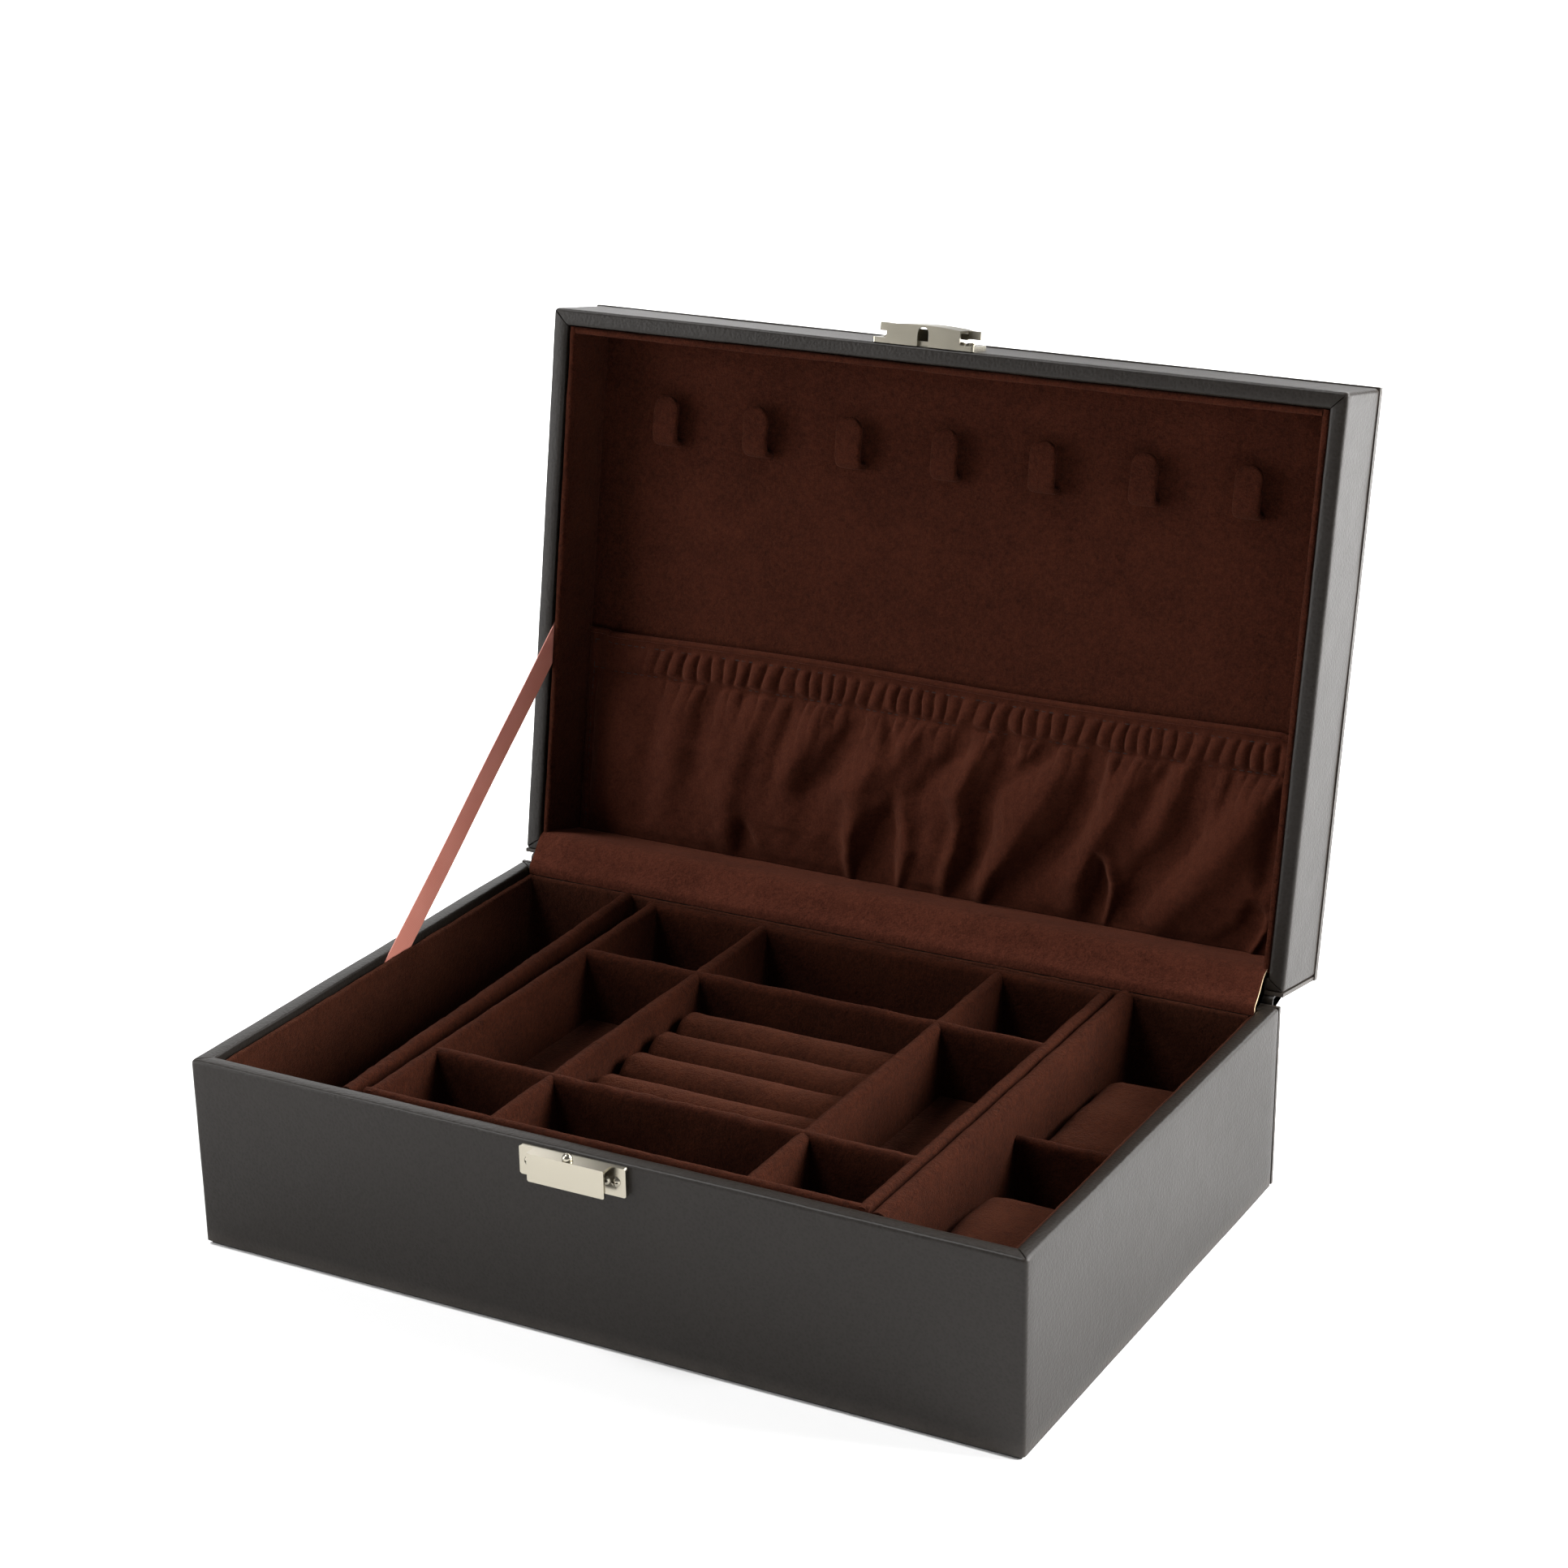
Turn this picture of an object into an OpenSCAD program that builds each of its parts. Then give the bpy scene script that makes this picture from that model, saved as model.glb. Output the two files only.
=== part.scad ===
// Hinged jewellery box: leather-wrapped base and lid, lift-out tray,
// two watch bays, necklace hooks, elastic pocket, stay ribbon and snap catch.
// Units are millimetres. +Z is up, the front faces -Y, and the origin is the
// centre of the underside. The lid parts are drawn shut and then turned open.

/* [Box] */
// Outer width of the base and lid
box_w = 305; // [290:1:330]
// Outer depth of the base and lid
box_d = 204; // [200:1:220]
// Height of the base, sole included
base_h = 68.5; // [68:0.5:72]
// Height of the shut box
total_h = 102; // [102:0.5:108]
// Thickness of a wrapped front or side wall
wall_t = 5.9; // [4.5:0.1:6]
// Gap between the two rims when shut
rim_gap = 0.4; // [0.3:0.1:0.6]

/* [Hinge] */
// Angle between base and lid when the stay ribbon is taut
lid_open = 100; // [95:1:102]
// Distance of the fold line behind the spine
fold_back = 1.6; // [1.4:0.1:1.8]
// Height of the fold line above the base rim
fold_up = 0.9; // [0.8:0.1:1]
// Thickness of the spine boards
spine_t = 1.4; // [1:0.1:1.6]

/* [Lining] */
// Thickness of a padded lining panel
lining_t = 2.4; // [2:0.1:2.6]
// How far the base lining sits below the rim
lining_drop = 2.5; // [2:0.1:3]
// Glue gap between wall and lining
glue_gap = 0.4; // [0.4:0.1:0.5]

/* [Dividers] */
// Top of the dividers and tray
divider_top = 67.2; // [66.5:0.1:67.6]
// Thickness of the fixed dividers
divider_t = 4.8; // [4:0.1:5]
// Angle of the left divider, which is set a little out of square
divider_skew = 1.7; // [0:0.1:1.8]
// Top of the low divider between the watch bays
bay_top = 53.5; // [48:0.5:56]

/* [Tray] */
// Left side of the tray
tray_x0 = -89.8; // [-90:0.1:-88]
// Right side of the tray
tray_x1 = 95.5; // [95:0.1:95.5]
// Thickness of tray walls and tray dividers
tray_t = 4.8; // [4:0.1:5]
// Top face of the tray floor
tray_floor_z = 41; // [40:0.5:42]
// Diameter of a ring roll
roll_d = 18.7; // [17:0.1:18.7]

/* [Lid fittings] */
// Face of the ceiling pad, measured with the lid shut
ceiling_z = 94; // [94:0.5:96.5]
// Distance between necklace hooks
hook_pitch = 38; // [36:0.1:38]
// Width of a hook
hook_w = 9.8; // [8:0.1:10]
// Top hem of the pocket, measured with the lid shut
pocket_y = 18; // [10:1:30]

/* [Catch] */
// Middle of the catch
catch_x = -2.5; // [-3:0.5:3]
// Width of the catch plates
catch_w = 39; // [38:1:42]
// Sheet thickness of the catch
catch_t = 0.9; // [0.8:0.1:1]
// radius of the round stud
stud_r = 1.7; // [1.5:0.1:1.8]

/* [Hidden] */
$fn = 48;

leather = "#2b2724";
suede = "#4a2218";
satin = "#7c2f24";
nickel = "#cfc9b8";
board = "#1d1a18";

x2 = box_w / 2;
yf = -box_d / 2;               // front face
yb = box_d / 2;                // back face of the spine
sole_z = 1.5;
sole_in = 1.5;
back_t = 4.4;                  // back wall, thinner because the spine backs it
ybw = yb - spine_t;            // outer face of the back wall
xi = x2 - wall_t;              // inner faces of the walls
yfi = yf + wall_t;
ybi = ybw - back_t;
floor_z = 4.5;                 // top of the bottom board
felt_t = 0.8;
lin_top = base_h - lining_drop;
xl = xi - glue_gap - lining_t; // inner faces of the lining
yfl = yfi + glue_gap + lining_t;
ybl = ybi - glue_gap - lining_t;
lid_z = base_h + rim_gap;      // lid rim, shut
top_t = 2.5;
top_z = total_h - top_t;
hy = yb + fold_back;           // fold line
hz = base_h + fold_up;
deck = floor_z + felt_t;       // surface inside the base

// fixed dividers
ldx = -98.6;
rdx = tray_x1 + 0.4;           // left face of the right divider
rd_t = divider_t + 1.5;        // it is thicker than the left one

// tray
tray_y0 = yfl + 0.4;
tray_y1 = 91.6;
tray_bot = tray_floor_z - 3;
tdl = -41;                     // middle of the left tray divider
tdr = 53.2;                    // middle of the right tray divider
tdb = 40.5;                    // middle of the back cross divider
tdf = -54;                     // middle of the front cross divider
cell_y0 = tdf + tray_t / 2;
cell_y1 = tdb - tray_t / 2;
roll_r = roll_d / 2;
roll_pitch = roll_d + 0.1;
roll_y = -5.5;                 // middle of the four rolls
roll_x0 = tdl + tray_t / 2 + 1.2;
roll_x1 = tdr - tray_t / 2 - 1.2;

// turns the lid parts from shut to open
module opened() {
  translate([0, hy, hz]) rotate([-lid_open, 0, 0]) translate([0, -hy, -hz]) children();
}
module box3(lo, hi) {
  translate(lo) cube([hi[0] - lo[0], hi[1] - lo[1], hi[2] - lo[2]]);
}
// a mitred wall lying along X, seen in plan, with outer edge y0 and inner edge y1
module wall_x(y0, y1, xa, xb, z0, z1) {
  translate([0, 0, z0]) linear_extrude(z1 - z0)
    polygon([[-xa, y0], [xa, y0], [xb, y1], [-xb, y1]]);
}
// a mitred wall lying along Y on the side s = -1 or 1
module wall_y(s, z0, z1) {
  translate([0, 0, z0]) linear_extrude(z1 - z0)
    polygon([[s * x2, yf], [s * x2, ybw], [s * xi, ybi], [s * xi, yfi]]);
}
// a padded board standing along Y with a rounded top
module board_y(xc, t, ya, yb_, z0, z1) {
  union() {
    box3([xc - t / 2, ya, z0], [xc + t / 2, yb_, z1 - t / 2]);
    translate([xc, ya, z1 - t / 2]) rotate([-90, 0, 0]) cylinder(h = yb_ - ya, r = t / 2);
  }
}
// a padded board standing along X with a rounded top
module board_x(yc, t, xa, xb, z0, z1) {
  union() {
    box3([xa, yc - t / 2, z0], [xb, yc + t / 2, z1 - t / 2]);
    translate([xa, yc, z1 - t / 2]) rotate([0, 90, 0]) cylinder(h = xb - xa, r = t / 2);
  }
}

// ---------------------------------------------------------------- base
module base_front_wall() { color(leather) wall_x(yf, yfi, x2, xi, sole_z, base_h); }
module base_back_wall() { color(leather) wall_x(ybw, ybi, x2, xi, sole_z, base_h); }
module base_left_wall() { color(leather) wall_y(-1, sole_z, base_h); }
module base_right_wall() { color(leather) wall_y(1, sole_z, base_h); }
module base_bottom_board() { color(board) box3([-xi, yfi, sole_z], [xi, ybi, floor_z]); }
module base_sole_board() {
  color(board) box3([-x2 + sole_in, yf + sole_in, 0], [x2 - sole_in, yb - sole_in, sole_z]);
}
module base_spine_board() { color(leather) box3([-x2, ybw, sole_z], [x2, yb, base_h - 0.2]); }

module base_front_lining() {
  color(suede) board_x(yfl - lining_t / 2, lining_t, -xl, xl, deck, lin_top);
}
module base_back_lining() {
  color(suede) board_x(ybl + lining_t / 2, lining_t, -xl, xl, deck, lin_top);
}
module side_lining(s, z0, z1) {
  board_y(s * (xl + lining_t / 2), lining_t, yfl - lining_t, ybl + lining_t, z0, z1);
}
module base_left_lining() { color(suede) side_lining(-1, deck, lin_top); }
module base_right_lining() { color(suede) side_lining(1, deck, lin_top); }
module base_floor_lining() { color(suede) box3([-xi, yfi, floor_z], [xi, ybi, deck]); }

module left_divider() {
  color(suede) intersection() {
    translate([ldx, 0, 0]) rotate([0, 0, divider_skew])
      board_y(0, divider_t, -110, 110, deck, divider_top);
    box3([-120, yfl + 0.1, 0], [-80, ybl - 0.1, 80]);
  }
}
module right_divider() {
  color(suede) board_y(rdx + rd_t / 2, rd_t, yfl + 0.1, ybl - 0.1, deck, divider_top);
}
module watch_bay_divider() {
  color(suede) board_x(-0.5, 4.8, rdx + rd_t, xl, deck, bay_top);
}
// two covered bars the tray stands on
module tray_ledges() {
  color(suede) for (s = [0, 1])
    box3([-86, s ? ybl - 6.2 : yfl, deck], [94, s ? ybl : yfl + 6.2, tray_bot - 0.1]);
}

// ---------------------------------------------------------------- catch on the base
c_y0 = yf;                     // wall face
c_y1 = yf - 6.1;               // outside of the front plate
c_top = base_h - 1.0;          // top of the web
c_bot = c_top - 10;
c_fl = 1.8;                     // the screwed flange stands this proud of the wall
c_hw = 14.1;                   // half width of the raised part
scr_x = [12.1, 15.8];
scr_r = 1.8;
scr_z = (c_top + c_bot) / 2;
stud_y = yf - 4.2;

// an upright plate with round corners between y0 and y1
module rplate(w, z0, z1, y0, y1, r) {
  translate([0, y1, 0]) rotate([90, 0, 0]) linear_extrude(y1 - y0) union() {
    translate([-w / 2 + r, z0]) square([w - 2 * r, z1 - z0]);
    translate([-w / 2, z0 + r]) square([w, z1 - z0 - 2 * r]);
    for (sx = [-1, 1], z = [z0 + r, z1 - r]) translate([sx * (w / 2 - r), z]) circle(r = r);
  }
}
module catch_plate() {
  color(nickel) translate([catch_x, 0, 0]) difference() {
    union() {
      rplate(catch_w, c_bot, c_top, c_y0 - c_fl, c_y0, 0.9);
      box3([-c_hw, c_y1 + 0.2, c_top - catch_t], [c_hw, c_y0 - 0.2, c_top]);
      rplate(2 * c_hw, c_bot + 0.3, c_top, c_y1, c_y1 + catch_t, 0.7);
    }
    for (s = [-1, 1], x = scr_x)
      translate([s * x, c_y0 + 1, scr_z]) rotate([90, 0, 0]) cylinder(h = 4, r = 1.05);
  }
}
module catch_stud() {
  color(nickel) translate([catch_x, stud_y, c_top]) intersection() {
    translate([0, 0, 0.6]) sphere(r = stud_r);
    translate([-3, -3, 0]) cube([6, 6, 4]);
  }
}

// a raised cross-head screw, its axis along -Y, shank to the wall
module screw() {
  difference() {
    union() {
      intersection() {
        translate([0, 1.5, 0]) sphere(r = 2.45);
        rotate([90, 0, 0]) cylinder(h = 2, r = scr_r);
      }
      rotate([-90, 0, 0]) cylinder(h = c_fl, r = 1);
    }
    translate([-1.25, -2, -0.28]) cube([2.5, 1.7, 0.56]);
    translate([-0.28, -2, -1.25]) cube([0.56, 1.7, 2.5]);
  }
}
module catch_plate_screws() {
  color(nickel) for (s = [-1, 1], x = scr_x)
    translate([catch_x + s * x, c_y0 - c_fl, scr_z]) screw();
}

// ---------------------------------------------------------------- stay ribbon, flap and spine fold
rib_w = 10;
rib_t = 0.4;
rib_tail = 14;
// a shut point of the lid, turned open, in the YZ plane
function op(y, z) = [
  hy + (y - hy) * cos(lid_open) + (z - hz) * sin(lid_open),
  hz - (y - hy) * sin(lid_open) + (z - hz) * cos(lid_open)];
rib_a = [10.2, 66.5];
rib_b = op(22.5, 69.6);
rib_len = norm(rib_b - rib_a);
rib_ang = atan2(rib_b[1] - rib_a[1], rib_b[0] - rib_a[0]);
module stay_ribbon() {
  color(satin) translate([-xi, rib_a[0], rib_a[1]]) rotate([rib_ang, 0, 0])
    translate([0, -rib_tail, -rib_w / 2]) cube([rib_t, rib_len + 2 * rib_tail, rib_w]);
}

flap_w = 291;
flap_t = 1;
// the flap lies on the lid's back wall, bridges the fold and covers the back rim
fl_in = ybi;
function flap_line(o) = [
  [fl_in - o, base_h - 2.0], [fl_in - o, base_h + o * 0.6], [fl_in + 1.2, base_h + o + 0.3],
  [fl_in + 4.6, base_h + 2.2 + o], op(fl_in + 1.2, lid_z - o - 0.3),
  op(fl_in - o, lid_z - o * 0.6), op(fl_in - o, ceiling_z - 0.3)];
module hinge_flap() {
  a = flap_line(0.05);
  b = flap_line(flap_t);
  color(suede) translate([-flap_w / 2, 0, 0]) rotate([90, 0, 90])
    linear_extrude(flap_w)
      polygon(concat(a, [for (i = [len(b) - 1:-1:0]) b[i]]));
}
sp_t = 0.6;
module spine_fold() {
  in_ = [[yb, base_h - 12], [yb, base_h - 0.3], [yb + 0.75, base_h + 1.0], op(yb, lid_z + 0.3), op(yb, lid_z + 12)];
  out_ = [[yb + sp_t, base_h - 12], [yb + sp_t, base_h - 0.3], [yb + 0.75 + sp_t, base_h + 0.7],
          op(yb + sp_t, lid_z + 0.3), op(yb + sp_t, lid_z + 12)];
  color(leather) translate([-x2 + 0.5, 0, 0]) rotate([90, 0, 90])
    linear_extrude(box_w - 1)
      polygon(concat(in_, [for (i = [len(out_) - 1:-1:0]) out_[i]]));
}

// ---------------------------------------------------------------- tray
module tray_front_wall() {
  color(suede) board_x(tray_y0 + tray_t / 2, tray_t, tray_x0, tray_x1, tray_floor_z, divider_top);
}
module tray_back_wall() {
  color(suede) board_x(tray_y1 - tray_t / 2, tray_t, tray_x0, tray_x1, tray_floor_z, divider_top);
}
module tray_left_wall() {
  color(suede) board_y(tray_x0 + tray_t / 2, tray_t, tray_y0 + tray_t, tray_y1 - tray_t, tray_floor_z, divider_top);
}
module tray_right_wall() {
  color(suede) board_y(tray_x1 - tray_t / 2, tray_t, tray_y0 + tray_t, tray_y1 - tray_t, tray_floor_z, divider_top);
}
module tray_floor() { color(suede) box3([tray_x0, tray_y0, tray_bot], [tray_x1, tray_y1, tray_floor_z]); }
half_z = (tray_floor_z + divider_top) / 2;
// long dividers are notched from the top, cross dividers from below
module tray_long(xc) {
  difference() {
    board_y(xc, tray_t, tray_y0 + tray_t, tray_y1 - tray_t, tray_floor_z, divider_top);
    for (y = [tdf, tdb])
      box3([xc - 5, y - tray_t / 2, half_z], [xc + 5, y + tray_t / 2, 80]);
  }
}
module tray_cross(yc) {
  difference() {
    board_x(yc, tray_t, tray_x0 + tray_t, tray_x1 - tray_t, tray_floor_z, divider_top);
    for (x = [tdl, tdr])
      box3([x - tray_t / 2, yc - 5, 30], [x + tray_t / 2, yc + 5, half_z]);
  }
}
module tray_left_divider() { color(suede) tray_long(tdl); }
module tray_right_divider() { color(suede) tray_long(tdr); }
module tray_back_divider() { color(suede) tray_cross(tdb); }
module tray_front_divider() { color(suede) tray_cross(tdf); }
module ring_roll(i) {
  color(suede)
    translate([roll_x0, roll_y + roll_pitch * (2.5 - i), tray_floor_z + roll_r + 0.02])
      rotate([0, 90, 0]) cylinder(h = roll_x1 - roll_x0, r = roll_r);
}

// ---------------------------------------------------------------- watch pillows
pil_x0 = rdx + rd_t + 1;
pil_x1 = xl - 1;
pil_l = 64;
pil_top = 48.5;
module pillow(yc) {
  r = 6;
  color(suede) translate([pil_x0, 0, 0]) rotate([90, 0, 90])
    linear_extrude(pil_x1 - pil_x0) union() {
      translate([yc - pil_l / 2 + r, deck + 0.1]) square([pil_l - 2 * r, pil_top - deck - 0.1]);
      translate([yc - pil_l / 2, deck + 0.1 + r]) square([pil_l, pil_top - deck - 0.1 - 2 * r]);
      for (sy = [-1, 1], z = [deck + 0.1 + r, pil_top - r])
        translate([yc + sy * (pil_l / 2 - r), z]) circle(r = r);
    }
}
module watch_pillow_back() { pillow(38); }
module watch_pillow_front() { pillow(-58); }

// ---------------------------------------------------------------- lid, drawn shut
module lid_front_wall() { color(leather) opened() wall_x(yf, yfi, x2, xi, lid_z, top_z); }
module lid_back_wall() { color(leather) opened() wall_x(ybw, ybi, x2, xi, lid_z, top_z); }
module lid_left_wall() { color(leather) opened() wall_y(-1, lid_z, top_z); }
module lid_right_wall() { color(leather) opened() wall_y(1, lid_z, top_z); }
module lid_top_board() {
  color(leather) opened() box3([-x2 - 0.4, yf - 0.4, top_z], [x2 + 0.4, yb, total_h]);
}
module lid_spine_board() { color(leather) opened() box3([-x2, ybw, lid_z + 0.2], [x2, yb, top_z]); }
lid_lin = lid_z + 1;
module lid_front_lining() {
  color(suede) opened() box3([-xl, yfl - lining_t, lid_lin], [xl, yfl, ceiling_z]);
}
module lid_left_lining() {
  color(suede) opened() box3([-xl - lining_t, yfl - lining_t, lid_lin], [-xl, ybi - 1.1, ceiling_z]);
}
module lid_right_lining() {
  color(suede) opened() box3([xl, yfl - lining_t, lid_lin], [xl + lining_t, ybi - 1.1, ceiling_z]);
}
module lid_ceiling_pad() { color(suede) opened() box3([-xi, yfi, ceiling_z], [xi, ybi, top_z]); }

// a covered hook: a block on the ceiling and a round-ended tab
hook_y = -55;                  // block side
hook_l = 18;
tab_t = 2.8;
hook_face = 87.2;
module hook(i) {
  color(suede) opened() translate([(i - 4) * hook_pitch, 0, 0]) union() {
    box3([-hook_w / 2, hook_y - 3, hook_face], [hook_w / 2, hook_y, ceiling_z]);
    box3([-hook_w / 2, hook_y - hook_l + hook_w / 2, hook_face], [hook_w / 2, hook_y, hook_face + tab_t]);
    translate([0, hook_y - hook_l + hook_w / 2, hook_face]) cylinder(h = tab_t, r = hook_w / 2);
  }
}

// the gathered pocket: a soft panel sewn down round three sides, open along the hem
pk_t = 1.2;
pk_in = 3.6;                   // room behind the panel
module elastic_pocket() {
  color(suede) opened() difference() {
    box3([-xl + 0.5, pocket_y, ceiling_z - pk_in - pk_t], [xl - 0.5, ybi - 1.4, ceiling_z - 0.05]);
    box3([-xl + 3.5, pocket_y - 1, ceiling_z - pk_in], [xl - 3.5, ybi - 4.4, ceiling_z]);
  }
}

// ---------------------------------------------------------------- catch on the lid, drawn shut
b_z0 = lid_z + 0.2;            // underside of the web
b_z1 = b_z0 + 11;
slot_hw = 2.1;
bow = 0.8;
bow_r = (c_hw * c_hw + bow * bow) / (2 * bow);
b_y1 = yf - 6.6;
module latch_bracket() {
  color(nickel) opened() translate([catch_x, 0, 0]) difference() {
    union() {
      rplate(catch_w, b_z0, b_z1, yf - c_fl, yf, 0.9);
      // web and bowed front plate
      translate([0, 0, b_z0]) linear_extrude(catch_t) union() {
        translate([-c_hw, b_y1]) square([2 * c_hw, yf - 0.2 - b_y1]);
        intersection() {
          translate([-c_hw, b_y1 - bow]) square([2 * c_hw, bow + 0.4]);
          translate([0, b_y1 - bow + bow_r]) circle(r = bow_r, $fn = 200);
        }
      }
      translate([0, 0, b_z0]) linear_extrude(b_z1 - b_z0) intersection() {
        difference() {
          translate([0, b_y1 - bow + bow_r]) circle(r = bow_r, $fn = 200);
          translate([0, b_y1 - bow + bow_r]) circle(r = bow_r - catch_t, $fn = 200);
        }
        translate([-c_hw, b_y1 - bow - 0.1]) square([2 * c_hw, bow + 1]);
      }
    }
    // slot for the stud, open towards the wall
    translate([0, 0, b_z0 - 1]) linear_extrude(catch_t + 1.5) union() {
      translate([-slot_hw, stud_y - 0.4]) square([2 * slot_hw, yf + 1 - stud_y]);
      translate([0, stud_y - 0.4]) circle(r = slot_hw);
    }
    for (s = [-1, 1], x = scr_x)
      translate([s * x, yf + 1, (b_z0 + b_z1) / 2]) rotate([90, 0, 0]) cylinder(h = 4, r = 1.05);
  }
}
module latch_bracket_screws() {
  color(nickel) opened() for (s = [-1, 1], x = scr_x)
    translate([catch_x + s * x, yf - c_fl, (b_z0 + b_z1) / 2]) screw();
}
// the release slide: a bar through the housing with an ear at each end
module latch_slide() {
  color(nickel) opened() translate([catch_x, 0, b_z0 + 5.6]) union() {
    box3([-9.8, b_y1 + 1, 0], [9.8, yf - c_fl, 1.8]);
    box3([-14.6, b_y1 + 1, 0], [14.6, yf - c_fl - 1.6, 1.8]);
    for (s = [-1, 1]) translate([s * 16.9, 0, 0]) box3([-2.5, b_y1 - 0.1, 0], [2.5, yf - c_fl - 2, 1.8]);
  }
}

base_front_wall();
base_back_wall();
base_left_wall();
base_right_wall();
base_bottom_board();
base_sole_board();
base_spine_board();
base_front_lining();
base_back_lining();
base_left_lining();
base_right_lining();
base_floor_lining();
left_divider();
right_divider();
watch_bay_divider();
tray_ledges();
catch_plate();
catch_stud();
catch_plate_screws();
stay_ribbon();
hinge_flap();
spine_fold();
tray_front_wall();
tray_back_wall();
tray_left_wall();
tray_right_wall();
tray_floor();
tray_left_divider();
tray_right_divider();
tray_back_divider();
tray_front_divider();
ring_roll(1);  // ring_roll_1
ring_roll(2);  // ring_roll_2
ring_roll(3);  // ring_roll_3
ring_roll(4);  // ring_roll_4
watch_pillow_back();
watch_pillow_front();
lid_front_wall();
lid_back_wall();
lid_left_wall();
lid_right_wall();
lid_top_board();
lid_spine_board();
lid_front_lining();
lid_left_lining();
lid_right_lining();
lid_ceiling_pad();
hook(1);  // necklace_hook_1
hook(2);  // necklace_hook_2
hook(3);  // necklace_hook_3
hook(4);  // necklace_hook_4
hook(5);  // necklace_hook_5
hook(6);  // necklace_hook_6
hook(7);  // necklace_hook_7
elastic_pocket();
latch_bracket();
latch_bracket_screws();
latch_slide();
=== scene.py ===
import math
import bpy, bmesh
import numpy as np
from mathutils import Matrix, Vector


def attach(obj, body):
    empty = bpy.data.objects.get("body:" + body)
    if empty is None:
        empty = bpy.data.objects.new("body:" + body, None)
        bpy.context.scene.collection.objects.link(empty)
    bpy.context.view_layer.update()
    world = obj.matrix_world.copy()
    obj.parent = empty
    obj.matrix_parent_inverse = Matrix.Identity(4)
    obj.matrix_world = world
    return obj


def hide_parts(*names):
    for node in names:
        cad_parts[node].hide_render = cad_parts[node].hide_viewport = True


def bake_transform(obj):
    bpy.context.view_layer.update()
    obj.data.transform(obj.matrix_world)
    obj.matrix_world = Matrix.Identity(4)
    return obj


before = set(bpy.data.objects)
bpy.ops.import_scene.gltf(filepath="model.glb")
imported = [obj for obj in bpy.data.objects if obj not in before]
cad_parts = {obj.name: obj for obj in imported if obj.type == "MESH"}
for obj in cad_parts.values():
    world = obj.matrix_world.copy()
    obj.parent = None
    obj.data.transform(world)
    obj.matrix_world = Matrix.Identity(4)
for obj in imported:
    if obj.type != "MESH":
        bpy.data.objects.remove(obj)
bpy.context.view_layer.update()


MM = 0.001

# ------------------------------------------------------------------ dimensions (mm), as in the CAD
X2, YF, YBW, YB = 152.5, -102.0, 100.6, 102.0
XI, YFI, YBI = 146.6, -96.1, 96.2
XL, YFL, YBL = 143.8, -93.3, 93.4
LT = 2.4
BASE_H, LID_Z, TOP_Z, CEIL = 68.5, 68.9, 99.5, 94.0
DECK, LIN_TOP, DIV_TOP = 5.3, 66.0, 67.2
HY, HZ, TH = 103.6, 69.4, math.radians(100)
TX0, TX1, TY0, TY1, TT, TF = -89.8, 95.5, -92.9, 91.6, 4.8, 41.0
TDL, TDR, TDB, TDF = -41.0, 53.2, 40.5, -54.0
RDX, RDT = 95.9, 6.3
BAY_TOP = 53.5


def opened(P):
    P = np.asarray(P, float)
    y, z = P[..., 1] - HY, P[..., 2] - HZ
    return np.stack([P[..., 0], HY + y * math.cos(TH) + z * math.sin(TH),
                     HZ - y * math.sin(TH) + z * math.cos(TH)], -1)


def wob(P, wl, amp, seed, n=7):
    """Smooth seeded waviness: a sum of sines in random directions."""
    r = np.random.default_rng(seed)
    P = np.asarray(P, float)
    out = np.zeros(P.shape[:-1])
    for _ in range(n):
        d = r.normal(size=3)
        d /= np.linalg.norm(d)
        k = 2 * math.pi / (wl * r.uniform(0.7, 1.5))
        out += np.sin(P @ d * k + r.uniform(0, 6.28))
    return out * amp / math.sqrt(n / 2) / 1.6


def smooth(t):
    t = np.clip(t, 0, 1)
    return t * t * (3 - 2 * t)


# ------------------------------------------------------------------ materials
def mat(name):
    m = bpy.data.materials.new(name)
    m.use_nodes = True
    nt = m.node_tree
    b = nt.nodes["Principled BSDF"]
    return m, nt, b


def new(nt, kind, **kw):
    n = nt.nodes.new(kind)
    for k, v in kw.items():
        setattr(n, k, v)
    return n


def coords(nt):
    return new(nt, "ShaderNodeTexCoord").outputs["Object"]


def noise(nt, co, scale, detail=4, rough=0.55, dist=0.0):
    n = new(nt, "ShaderNodeTexNoise")
    n.inputs["Scale"].default_value = scale
    n.inputs["Detail"].default_value = detail
    n.inputs["Roughness"].default_value = rough
    n.inputs["Distortion"].default_value = dist
    nt.links.new(co, n.inputs["Vector"])
    return n.outputs["Fac"]


def ramp(nt, fac, stops):
    r = new(nt, "ShaderNodeValToRGB")
    e = r.color_ramp.elements
    while len(e) < len(stops):
        e.new(0.5)
    for i, (p, c) in enumerate(stops):
        e[i].position = p
        e[i].color = (c, c, c, 1) if isinstance(c, (int, float)) else (*c, 1)
    nt.links.new(fac, r.inputs["Fac"])
    return r.outputs["Color"]


def mix(nt, fac, a, b, mode="MIX"):
    n = new(nt, "ShaderNodeMix", data_type="RGBA", blend_type=mode)
    for s, v in (("Factor", fac), ("A", a), ("B", b)):
        i = [x for x in n.inputs if x.name == s and (s == "Factor" and x.type == "VALUE" or x.type == "RGBA")][0]
        if isinstance(v, (int, float)):
            i.default_value = v
        elif isinstance(v, tuple):
            i.default_value = (*v, 1)
        else:
            nt.links.new(v, i)
    return [o for o in n.outputs if o.type == "RGBA"][0]


def math_(nt, op, a, b=None):
    n = new(nt, "ShaderNodeMath", operation=op)
    for i, v in enumerate((a, b)):
        if v is None:
            continue
        if isinstance(v, (int, float)):
            n.inputs[i].default_value = v
        else:
            nt.links.new(v, n.inputs[i])
    return n.outputs[0]


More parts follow.
